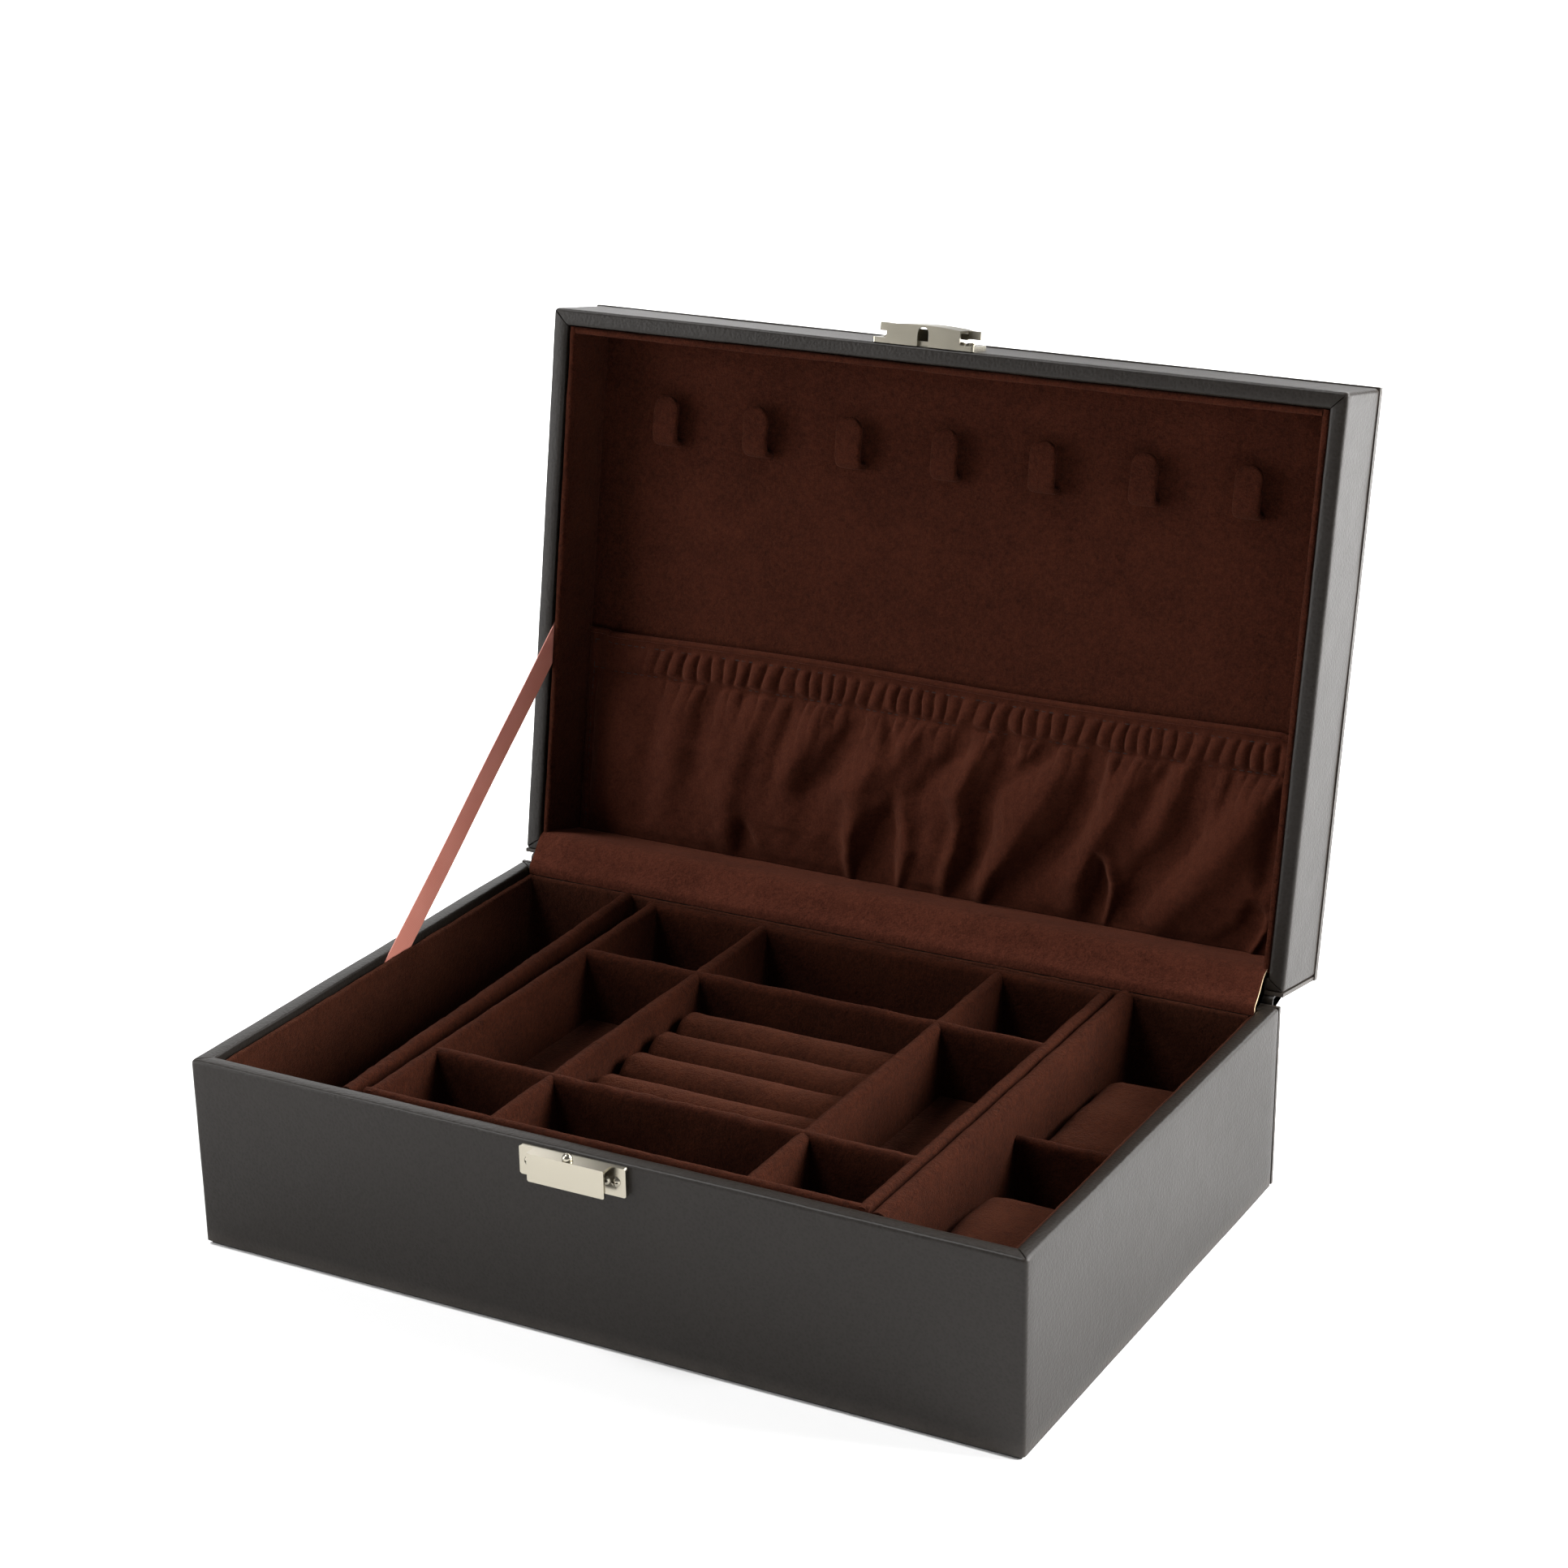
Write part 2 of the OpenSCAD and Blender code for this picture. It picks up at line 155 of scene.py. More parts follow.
def bump(nt, height, strength, distance, normal=None):
    n = new(nt, "ShaderNodeBump")
    n.inputs["Strength"].default_value = strength
    n.inputs["Distance"].default_value = distance
    nt.links.new(height, n.inputs["Height"])
    if normal is not None:
        nt.links.new(normal, n.inputs["Normal"])
    return n.outputs["Normal"]


def suede(name, dark, light, sheen=0.16, seed=0.0, rough=1.0):
    m, nt, b = mat(name)
    co = coords(nt)
    mp = new(nt, "ShaderNodeMapping")
    mp.inputs["Location"].default_value = (seed, seed * 0.7, seed * 0.3)
    nt.links.new(co, mp.inputs["Vector"])
    co = mp.outputs["Vector"]
    big = noise(nt, co, 55, 4, 0.55, 0.5)         # brushed patches
    mid = noise(nt, co, 520, 5, 0.7, 0.4)         # short nap
    fine = noise(nt, co, 1700, 3, 0.7, 0.2)       # fibres
    patch = ramp(nt, big, [(0.34, 0.0), (0.7, 1.0)])
    grain = ramp(nt, mid, [(0.36, 0.0), (0.66, 1.0)])
    fibre = ramp(nt, fine, [(0.38, 0.0), (0.64, 1.0)])
    f = math_(nt, "ADD", math_(nt, "MULTIPLY", patch, 0.22),
              math_(nt, "ADD", math_(nt, "MULTIPLY", grain, 0.38), math_(nt, "MULTIPLY", fibre, 0.40)))
    col = mix(nt, f, dark, light)
    nt.links.new(col, b.inputs["Base Color"])
    rr = new(nt, "ShaderNodeMapRange")
    rr.inputs["To Min"].default_value, rr.inputs["To Max"].default_value = 0.82, 1.0
    nt.links.new(mid, rr.inputs["Value"])
    nt.links.new(rr.outputs[0], b.inputs["Roughness"])
    b.inputs["Specular IOR Level"].default_value = 0.04
    b.inputs["Sheen Weight"].default_value = sheen
    b.inputs["Sheen Roughness"].default_value = 0.45
    b.inputs["Sheen Tint"].default_value = (0.62, 0.26, 0.17, 1)
    n1 = bump(nt, fine, 0.7 * rough, 0.0006)
    n2 = bump(nt, mid, 0.6 * rough, 0.0012, n1)
    n3 = bump(nt, big, 0.2, 0.002, n2)
    nt.links.new(n3, b.inputs["Normal"])
    return m


def leather(name):
    m, nt, b = mat(name)
    co = coords(nt)
    warp = noise(nt, co, 130, 3, 0.5)
    v = new(nt, "ShaderNodeTexVoronoi", feature="SMOOTH_F1")
    v.inputs["Scale"].default_value = 900
    v.inputs["Smoothness"].default_value = 0.6
    v.inputs["Randomness"].default_value = 1.0
    nt.links.new(co, v.inputs["Vector"])
    pore = noise(nt, co, 1500, 3, 0.6)
    big = noise(nt, co, 22, 4, 0.55, 0.3)
    height = math_(nt, "ADD", math_(nt, "MULTIPLY", v.outputs["Distance"], 0.8), math_(nt, "MULTIPLY", pore, 0.5))
    col = mix(nt, ramp(nt, big, [(0.3, 0.0), (0.75, 1.0)]), (0.0057, 0.0039, 0.0025), (0.0073, 0.0051, 0.0034))
    col = mix(nt, ramp(nt, v.outputs["Distance"], [(0.1, 0.0), (0.6, 0.35)]), col, (0.017, 0.014, 0.0118))
    # painted highlight: a paler colour on convex edges, broken up by noise
    geo = new(nt, "ShaderNodeNewGeometry")
    edge = ramp(nt, geo.outputs["Pointiness"], [(0.52, 0.0), (0.62, 0.55)])
    edge = mix(nt, warp, (0, 0, 0), edge)
    col = mix(nt, edge, col, (0.075, 0.062, 0.052))
    nt.links.new(col, b.inputs["Base Color"])
    rr = new(nt, "ShaderNodeMapRange")
    rr.inputs["To Min"].default_value, rr.inputs["To Max"].default_value = 0.39, 0.45
    nt.links.new(warp, rr.inputs["Value"])
    nt.links.new(rr.outputs[0], b.inputs["Roughness"])
    b.inputs["Specular IOR Level"].default_value = 0.2
    b.inputs["Coat Weight"].default_value = 0.0
    b.inputs["Coat Roughness"].default_value = 0.4
    n1 = bump(nt, height, 0.38, 0.00022)
    n2 = bump(nt, big, 0.1, 0.0012, n1)
    nt.links.new(n2, b.inputs["Normal"])
    return m


def nickel(name):
    m, nt, b = mat(name)
    co = coords(nt)
    s = noise(nt, co, 900, 3, 0.6)
    sm = noise(nt, co, 160, 3, 0.5)
    nt.links.new(mix(nt, sm, (0.325, 0.301, 0.245), (0.345, 0.32, 0.26)), b.inputs["Base Color"])
    b.inputs["Metallic"].default_value = 1.0
    rr = new(nt, "ShaderNodeMapRange")
    rr.inputs["To Min"].default_value, rr.inputs["To Max"].default_value = 0.24, 0.28
    nt.links.new(sm, rr.inputs["Value"])
    nt.links.new(rr.outputs[0], b.inputs["Roughness"])
    nt.links.new(bump(nt, s, 0.02, 0.0001), b.inputs["Normal"])
    return m


def satin(name):
    m, nt, b = mat(name)
    co = coords(nt)
    w = new(nt, "ShaderNodeTexWave", wave_type="BANDS", bands_direction="DIAGONAL")
    w.inputs["Scale"].default_value = 900
    w.inputs["Distortion"].default_value = 1.2
    nt.links.new(co, w.inputs["Vector"])
    big = noise(nt, co, 60, 3, 0.5)
    col = mix(nt, big, (0.56, 0.19, 0.14), (0.74, 0.31, 0.24))
    col = mix(nt, math_(nt, "MULTIPLY", w.outputs["Fac"], 0.35), col, (0.36, 0.11, 0.08))
    nt.links.new(col, b.inputs["Base Color"])
    b.inputs["Roughness"].default_value = 0.42
    b.inputs["Sheen Weight"].default_value = 0.5
    b.inputs["Sheen Roughness"].default_value = 0.3
    nt.links.new(bump(nt, w.outputs["Fac"], 0.35, 0.0001), b.inputs["Normal"])
    return m


def plain(name, a, c, scale, rough):
    m, nt, b = mat(name)
    co = coords(nt)
    n = noise(nt, co, scale, 5, 0.65, 0.2)
    nt.links.new(mix(nt, ramp(nt, n, [(0.3, 0.0), (0.7, 1.0)]), a, c), b.inputs["Base Color"])
    b.inputs["Roughness"].default_value = rough
    nt.links.new(bump(nt, n, 0.3, 0.0003), b.inputs["Normal"])
    return m


LEATHER = leather("leather_cover")
D0, L0 = (0.0110, 0.0029, 0.0014), (0.0470, 0.0133, 0.0064)
SUEDE = suede("suede_lining", D0, L0)
SUEDE_TRAY = suede("suede_tray", (0.0090, 0.0021, 0.0009), (0.0385, 0.0095, 0.0040), 0.07, 0.31)
SUEDE_ROLL = suede("suede_roll", (0.0135, 0.0034, 0.0015), (0.0525, 0.0148, 0.0068), 0.10, 0.57)
SUEDE_LID = suede("suede_lid", (0.0140, 0.0033, 0.0016), (0.0540, 0.0143, 0.0070), 0.07, 0.83)
SUEDE_FLAP = suede("suede_flap", (0.028, 0.0070, 0.0038), (0.098, 0.0275, 0.0155), 0.14, 1.1)
CREAM = plain("raw_cream_edge", (0.42, 0.29, 0.16), (0.66, 0.50, 0.32), 1400, 0.95)
SATIN = satin("satin_ribbon")
NICKEL = nickel("warm_nickel")
PAPER = plain("sole_paper", (0.012, 0.011, 0.010), (0.026, 0.024, 0.022), 700, 0.8)
BOARD = plain("board_core", (0.16, 0.10, 0.055), (0.28, 0.19, 0.11), 500, 0.9)
THREAD = plain("pocket_thread", (0.009, 0.0026, 0.0014), (0.020, 0.006, 0.0033), 3000, 0.95)
SUEDE_POCKET = suede("suede_pocket", (0.0220, 0.0052, 0.0026), (0.0560, 0.0152, 0.0078), 0.2, 1.7, 0.4)


# ------------------------------------------------------------------ mesh helpers
def finish_mesh(name, verts, faces, mats, idx=None, sharp=38):
    me = bpy.data.meshes.new(name)
    me.from_pydata([tuple(v) for v in np.asarray(verts, float) * MM], [], faces)
    me.update()
    o = bpy.data.objects.new(name, me)
    bpy.context.scene.collection.objects.link(o)
    for m in mats:
        me.materials.append(m)
    if idx is not None:
        me.polygons.foreach_set("material_index", idx)
    bm = bmesh.new()
    bm.from_mesh(me)
    bmesh.ops.recalc_face_normals(bm, faces=bm.faces)
    bm.to_mesh(me)
    bm.free()
    me.polygons.foreach_set("use_smooth", [True] * len(me.polygons))
    if sharp:
        me.set_sharp_from_angle(angle=math.radians(sharp))
    me.update()
    return o


def sweep(name, P, mats, cap_mat=0, closed_u=False, sharp=38):
    """P[u][v] with v a closed loop; ends are capped unless u is closed."""
    P = np.asarray(P, float)
    nu, nv = P.shape[:2]
    V = P.reshape(-1, 3)
    F, idx = [], []
    for i in range(nu if closed_u else nu - 1):
        a, b = i * nv, ((i + 1) % nu) * nv
        for j in range(nv):
            k = (j + 1) % nv
            F.append((a + j, a + k, b + k, b + j))
            idx.append(0)
    if not closed_u:
        for i in (0, nu - 1):
            c = V[i * nv:(i + 1) * nv].mean(0)
            V = np.vstack([V, c])
            n = len(V) - 1
            for j in range(nv):
                F.append((i * nv + j, i * nv + (j + 1) % nv, n))
                idx.append(cap_mat)
    return finish_mesh(name, V, F, mats, idx, sharp)


def section(t, z0, z1, step=3.0, n=9, flat=0.92):
    """Closed loop of (s, z) for a padded board: straight sides, rounded top."""
    r = t / 2
    zs = np.linspace(z0, z1 - r, max(3, int((z1 - r - z0) / step)))
    pts = [(-r, z) for z in zs]
    for a in np.linspace(math.pi, 0, n)[1:-1]:
        pts.append((r * math.cos(a), z1 - r + r * math.sin(a) ** flat))
    pts += [(r, z) for z in zs[::-1]]
    pts += [(s, z0) for s in np.linspace(r, -r, 4)[1:-1]]
    return np.array(pts)


def board(name, a, b, t, z0, z1, m, seed, amp=0.16, lid=False, step=1.6, ztop=None, swell=0.0):
    """A suede-covered board from a to b (plan points at its middle), rounded on top."""
    a, b = np.array(a, float), np.array(b, float)
    L = np.linalg.norm(b - a)
    d = (b - a) / L
    nrm = np.array([d[1], -d[0]])
    S = section(t, z0, z1)
    n = max(4, int(L / step))
    u = np.linspace(0, L, n)
    P = np.zeros((n, len(S), 3))
    P[..., :2] = a + u[:, None, None] * d + S[None, :, 0, None] * nrm
    P[..., 2] = S[None, :, 1]
    side = np.sign(S[:, 0]) * (np.abs(S[:, 0]) > t * 0.2)
    w = wob(P, 26, amp, seed) + wob(P, 5.5, amp * 0.45, seed + 1)
    if swell:
        w = w + swell * np.sin(np.pi * np.clip((S[None, :, 1] - z0) / (z1 - z0), 0, 1)) ** 2
    end = np.minimum(1, np.minimum(u, L - u) / 3)[:, None]
    P[..., :2] += (side * w * end)[..., None] * nrm
    top = smooth((S[:, 1] - (z1 - t)) / t)
    P[..., 2] += top * (wob(P, 17, amp * 1.0, seed + 2) + wob(P, 4, amp * 0.5, seed + 3)) * end
    if lid:
        P[..., 2] = CEIL + LID_Z + 1.0 - P[..., 2]
        P = opened(P)
    return sweep(name, P, [m])


def rbox(name, lo, hi, r, m, seed=0, amp=0.2, wl=22, step=4.0, crown=(0, 0), lid=False, fine=0.05, fn=None):
    """A stuffed or padded block with rounded edges."""
    lo, hi = np.array(lo, float), np.array(hi, float)
    h, c = (hi - lo) / 2, (hi + lo) / 2
    r = min(r, *(h * 0.98))
    ax = []
    for k in range(3):
        e = np.array([0, 0.3, 0.62, 1.0]) * r
        mid = np.linspace(-h[k] + r, h[k] - r, max(2, int((2 * (h[k] - r)) / step) + 1))
        ax.append(np.unique(np.round(np.concatenate([-h[k] + e, mid, (h[k] - e)[::-1]]), 6)))
    V, F, key = [], [], {}

    def vid(p):
        q = tuple(np.round(p, 4))
        if q not in key:
            key[q] = len(V)
            V.append(p)
        return key[q]

    for k in range(3):
        i, j = [x for x in range(3) if x != k]
        for s in (-1, 1):
            ids = [[0] * len(ax[j]) for _ in ax[i]]
            for a, va in enumerate(ax[i]):
                for b, vb in enumerate(ax[j]):
                    p = np.zeros(3)
                    p[i], p[j], p[k] = va, vb, s * h[k]
                    ids[a][b] = vid(p)
            for a in range(len(ax[i]) - 1):
                for b in range(len(ax[j]) - 1):
                    F.append((ids[a][b], ids[a + 1][b], ids[a + 1][b + 1], ids[a][b + 1]))
    V = np.array(V)
    q = np.clip(V, -(h - r), h - r)
    d = V - q
    n = d / np.maximum(np.linalg.norm(d, axis=1), 1e-9)[:, None]
    V = q + n * r
    if crown[0]:
        V[:, 2] += crown[0] * (V[:, 2] > 0) * (1 - (V[:, 0] / h[0]) ** 2) * (1 - (V[:, 1] / h[1]) ** 2)
    if crown[1]:
        V[:, 0] += crown[1] * n[:, 0] * (1 - (V[:, 2] / h[2]) ** 2)
    V = V + c
    V = V + n * (wob(V, wl, amp, seed) + wob(V, 5, fine, seed + 5))[:, None]
    if fn is not None:
        V = fn(V, n)
    if lid:
        V = opened(V)
    return finish_mesh(name, V, F, [m], sharp=0)


def put(o, body, *nodes):
    if nodes:
        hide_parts(*nodes)
    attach(o, body)
    return o


# ------------------------------------------------------------------ leather shells
def rrect(x0, x1, y0, y1, r, nx, ny, K):
    """Rounded rectangle, counter-clockwise, and the index of each corner's middle."""
    pts, corner = [], []
    C = [(x1 - r, y0 + r, -90), (x1 - r, y1 - r, 0), (x0 + r, y1 - r, 90), (x0 + r, y0 + r, 180)]
    for q, (cx, cy, a0) in enumerate(C):
        for k in range(K + 1):
            a = math.radians(a0 + 90 * k / K)
            pts.append((cx + r * math.cos(a), cy + r * math.sin(a)))
            corner.append(1.0 if k == K // 2 else 0.0)
        nxt = C[(q + 1) % 4]
        a = math.radians(a0 + 90)
        p = np.array(pts[-1])
        b = np.array((nxt[0] + r * math.cos(math.radians(nxt[2])), nxt[1] + r * math.sin(math.radians(nxt[2]))))
        n = ny if q in (0, 2) else nx
        t = np.linspace(0, 1, n + 2)[1:-1]
        t = 0.5 - 0.5 * np.cos(np.pi * t) * 0.15 + (t - 0.5) * 0.85
        for f in t:
            pts.append(tuple(p + (b - p) * f))
            corner.append(0.0)
    return np.array(pts), np.array(corner)


def shell(name, zrim, zfar, lid, seed):
    out, cn = rrect(-X2, X2, YF, YBW, 1.5, 60, 40, 6)
    inn, _ = rrect(-XI, XI, YFI, YBI, 0.5, 60, 40, 6)
    s = 1 if zrim > zfar else -1
    prof = [(0, zfar)]
    for z in np.linspace(zfar, zrim - s * 1.6, 14)[1:]:
        prof.append((0, z))
    for a in np.linspace(0, 90, 6)[1:]:
        a = math.radians(a)
        prof.append(((1.3 - 1.3 * math.cos(a)) / 5.9, zrim - s * (1.3 - 1.3 * math.sin(a))))
    for f in (0.4, 0.6, 0.78):
        prof.append((f, zrim + s * 0.12 * math.sin(math.pi * (f - 0.22) / 0.64)))
    for a in np.linspace(0, 90, 5)[1:]:
        a = math.radians(a)
        prof.append((1 - (0.9 - 0.9 * math.sin(a)) / 5.9, zrim - s * (0.9 - 0.9 * math.cos(a))))
    for z in np.linspace(zrim - s * 3, zfar, 8):
        prof.append((1, z))
    f = np.array([p[0] for p in prof])
    z = np.array([p[1] for p in prof])
    P = np.zeros((len(out), len(prof), 3))
    P[..., :2] = out[:, None] * (1 - f[None, :, None]) + inn[:, None] * f[None, :, None]
    P[..., 2] = z[None]
    # the mitre in the leather at each corner of the rim
    rim = ((f > 0.1) & (f < 1.0) & (np.abs(z - zrim) < 1.0)).astype(float)
    P[..., 2] -= s * 0.42 * cn[:, None] * rim[None]
    mid = 0.5 * (out + inn)
    nrm = out - inn
    nrm = nrm / np.linalg.norm(nrm, axis=1)[:, None]
    w = wob(P, 60, 0.10, seed) + wob(P, 14, 0.035, seed + 1)
    face = np.clip(1 - f * 2, -1, 1)
    P[..., :2] += nrm[:, None] * (w * face[None])[..., None]
    P[..., 2] += s * (np.abs(z - zrim) < 1.5)[None] * (wob(P, 45, 0.09, seed + 2) + wob(P, 9, 0.03, seed + 3))
    # the two rims meet without crossing when the lid is shut
    meet = 0.5 * (BASE_H + LID_Z) - s * 0.03
    P[..., 2] = np.minimum(P[..., 2], meet) if s > 0 else np.maximum(P[..., 2], meet)
    if lid:
        P = opened(P)
    return sweep(name, P, [LEATHER], closed_u=True, sharp=50)


o = put(shell("base_leather_shell", BASE_H, 1.5, False, 11), "base",
        "base_front_wall", "base_back_wall", "base_left_wall", "base_right_wall")
o = put(shell("lid_leather_shell", LID_Z, TOP_Z, True, 21), "lid",
        "lid_front_wall", "lid_back_wall", "lid_left_wall", "lid_right_wall")

# ------------------------------------------------------------------ CAD pieces that stay
def keep(node, m, bev=0.0, seg=3, ang=35):
    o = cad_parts[node]
    o.data.materials.clear()
    o.data.materials.append(m)
    if bev:
        b = o.modifiers.new("edge", "BEVEL")
        b.width = bev * MM
        b.segments = seg
        b.limit_method = "ANGLE"
        b.angle_limit = math.radians(ang)
        b.harden_normals = True
    return o


keep("base_spine_board", LEATHER, 0.5)
keep("lid_spine_board", LEATHER, 0.5)
keep("lid_top_board", LEATHER, 0.9, 4)
keep("base_sole_board", PAPER, 0.3)
keep("base_bottom_board", BOARD)
keep("catch_plate", NICKEL, 0.22)
keep("catch_stud", NICKEL)
keep("catch_plate_screws", NICKEL)
keep("latch_bracket", NICKEL, 0.22)
keep("latch_bracket_screws", NICKEL)
keep("latch_slide", NICKEL, 0.15)

# ------------------------------------------------------------------ base linings, dividers
def soft(o):
    return o


lb = YFL - LT
soft(put(board("front_lining_suede", (-XL, YFL - LT / 2), (XL, YFL - LT / 2), LT, DECK, LIN_TOP, SUEDE, 31, 0.12), "base", "base_front_lining"))
soft(put(board("back_lining_suede", (-XL, YBL + LT / 2), (XL, YBL + LT / 2), LT, DECK, LIN_TOP, SUEDE, 33, 0.12), "base", "base_back_lining"))
soft(put(board("left_lining_suede", (-XL - LT / 2, lb), (-XL - LT / 2, YBL + LT), LT, DECK, LIN_TOP, SUEDE, 35, 0.12), "base", "base_left_lining"))
soft(put(board("right_lining_suede", (XL + LT / 2, lb), (XL + LT / 2, YBL + LT), LT, DECK, LIN_TOP, SUEDE, 37, 0.12), "base", "base_right_lining"))
sk = math.radians(1.7)
dl = lambda y: (-98.6 - (y) * math.tan(sk), y)
soft(put(board("left_divider_suede", dl(YFL + 0.2), dl(YBL - 0.2), 4.8, DECK, DIV_TOP, SUEDE_TRAY, 41, 0.2), "base", "left_divider"))
soft(put(board("right_divider_suede", (RDX + RDT / 2 + 0.05, YFL + 0.2), (RDX + RDT / 2 + 0.05, YBL - 0.2), RDT - 0.2, DECK, DIV_TOP, SUEDE_TRAY, 43, 0.12), "base", "right_divider"))
soft(put(board("watch_bay_divider_suede", (RDX + RDT, -0.5), (XL, -0.5), 4.8, DECK, BAY_TOP, SUEDE_TRAY, 45, 0.2), "base", "watch_bay_divider"))
soft(put(rbox("floor_lining_suede", (-XI + 0.1, YFI + 0.1, 4.5), (XI - 0.1, YBI - 0.1, DECK), 0.3, SUEDE, 47, 0.05, 30, 6), "base", "base_floor_lining"))
for i, (y0, y1) in enumerate(((YFL, YFL + 6.2), (YBL - 6.2, YBL))):
    o = rbox(f"tray_ledge_suede_{i+1}", (-86, y0, DECK), (94, y1, 37.9), 1.0, SUEDE, 51 + i, 0.08, 25, 5)
    soft(put(o, "base", *(["tray_ledges"] if i == 0 else [])))

# ------------------------------------------------------------------ tray
yc0, yc1, xc0, xc1 = TY0 + TT / 2, TY1 - TT / 2, TX0 + TT / 2, TX1 - TT / 2
soft(put(board("tray_front_suede", (TX0, yc0), (TX1, yc0), TT, TF, DIV_TOP, SUEDE_TRAY, 61, 0.13), "tray", "tray_front_wall"))
soft(put(board("tray_back_suede", (TX0, yc1), (TX1, yc1), TT, TF, DIV_TOP, SUEDE_TRAY, 63, 0.13), "tray", "tray_back_wall"))
soft(put(board("tray_left_suede", (xc0, TY0 + 0.8), (xc0, TY1 - 0.8), TT, TF, DIV_TOP - 0.02, SUEDE_TRAY, 65, 0.13), "tray", "tray_left_wall"))
soft(put(board("tray_right_suede", (xc1, TY0 + 0.8), (xc1, TY1 - 0.8), TT, TF, DIV_TOP - 0.02, SUEDE_TRAY, 67, 0.13), "tray", "tray_right_wall"))
soft(put(board("tray_left_divider_suede", (TDL, TY0 + TT * 0.6), (TDL, TY1 - TT * 0.6), TT, TF, DIV_TOP - 0.15, SUEDE_TRAY, 69, 0.2), "tray", "tray_left_divider"))
soft(put(board("tray_right_divider_suede", (TDR, TY0 + TT * 0.6), (TDR, TY1 - TT * 0.6), TT, TF, DIV_TOP - 0.15, SUEDE_TRAY, 71, 0.2), "tray", "tray_right_divider"))
soft(put(board("tray_back_divider_suede", (TX0 + TT * 0.6, TDB), (TX1 - TT * 0.6, TDB), TT, TF, DIV_TOP - 0.05, SUEDE_TRAY, 73, 0.2), "tray", "tray_back_divider"))
soft(put(board("tray_front_divider_suede", (TX0 + TT * 0.6, TDF), (TX1 - TT * 0.6, TDF), TT, TF, DIV_TOP - 0.05, SUEDE_TRAY, 75, 0.2), "tray", "tray_front_divider"))
soft(put(rbox("tray_floor_suede", (TX0, TY0, 38.0), (TX1, TY1, TF), 0.6, SUEDE, 77, 0.12, 30, 5), "tray", "tray_floor"))


def roll(i):
    r = 18.7 / 2 - 0.12
    yc = -5.5 + 18.8 * (2.5 - i)
    zc = TF + 18.7 / 2 + 0.02
    x0, x1 = TDL + TT / 2 + 1.1, TDR - TT / 2 - 1.1
    L, e, p = x1 - x0, 4.6, 2.3
    tt = np.concatenate([np.linspace(0, 1, 10)[:-1] ** 1.6 * e, np.linspace(e, L - e, 60), (L - np.linspace(0, 1, 10)[:-1] ** 1.6 * e)[::-1]])
    P = []
    nv = 48
    for t in tt:
        q = min(t, L - t)
        f = 1.0 if q >= e else max(0.0, 1 - ((e - q) / e) ** p) ** (1 / p)
        a = np.linspace(0, 2 * math.pi, nv, endpoint=False)
        ring = np.stack([np.full(nv, x0 + t), yc + r * f * np.cos(a), zc + r * f * np.sin(a)], -1)
        n = np.stack([np.zeros(nv), np.cos(a), np.sin(a)], -1)
        w = wob(ring, 24, 0.16, 81 + i) + wob(ring, 6, 0.06, 91 + i)
        pucker = 0.22 * math.exp(-((q - e) / 3.0) ** 2) * np.cos(a * 9 + i)
        P.append(ring + n * ((w * 0.8 - 0.05 + pucker) * min(1, f * 1.5))[:, None])
    return sweep(f"ring_roll_suede_{i}", np.array(P), [SUEDE_ROLL], sharp=0)


for i in (1, 2, 3, 4):
    soft(put(roll(i), "tray", f"ring_roll_{i}"))

for nm, yc, sd in (("back", 38, 101), ("front", -58, 111)):
    o = rbox(f"watch_pillow_{nm}_suede", (103.5, yc - 31.5, DECK + 0.2), (142.5, yc + 31.5, 47.0), 7.5, SUEDE_ROLL, sd, 0.45, 26, 2.2, crown=(1.6, 0.2), fine=0.1)
    soft(put(o, f"pillow_{nm}", f"watch_pillow_{nm}"))

# ------------------------------------------------------------------ lid linings and ceiling
def lidboard(name, a, b, seed, node):
    o = board(name, a, b, LT, LID_Z + 1.0, CEIL, SUEDE_LID, seed, 0.12, lid=True)
    soft(put(o, "lid", node))


lidboard("lid_front_lining_suede", (-XL, YFL - LT / 2), (XL, YFL - LT / 2), 121, "lid_front_lining")
lidboard("lid_left_lining_suede", (-XL - LT / 2, YFL - LT), (-XL - LT / 2, YBI - 1.2), 123, "lid_left_lining")
lidboard("lid_right_lining_suede", (XL + LT / 2, YFL - LT), (XL + LT / 2, YBI - 1.2), 125, "lid_right_lining")

HOOKS = [(i - 4) * 38.0 for i in range(1, 8)]


def ceil_fn(V, n):
    under = V[:, 2] < CEIL + 0.4
    near = np.full(len(V), 0.0)
    for x in HOOKS:
        near += 0.5 * np.exp(-(((V[:, 0] - x) / 9) ** 2 + ((V[:, 1] + 56) / 6) ** 2))
    edge = np.minimum.reduce([XL - np.abs(V[:, 0]), V[:, 1] - YFL, YBI - V[:, 1]])
    soft_ = 0.45 * np.exp(-np.maximum(edge, 0) / 5)
    V[:, 2] += np.where(under, near * 0.6 + soft_ + 0.12, 0)
    return V


o = rbox("lid_ceiling_suede", (-XI + 0.1, YFI + 0.1, CEIL), (XI - 0.1, YBI - 0.1, TOP_Z - 0.05), 0.5, SUEDE_LID, 131, 0.2, 34, 3.0, lid=True, fn=ceil_fn)
soft(put(o, "lid", "lid_ceiling_pad"))


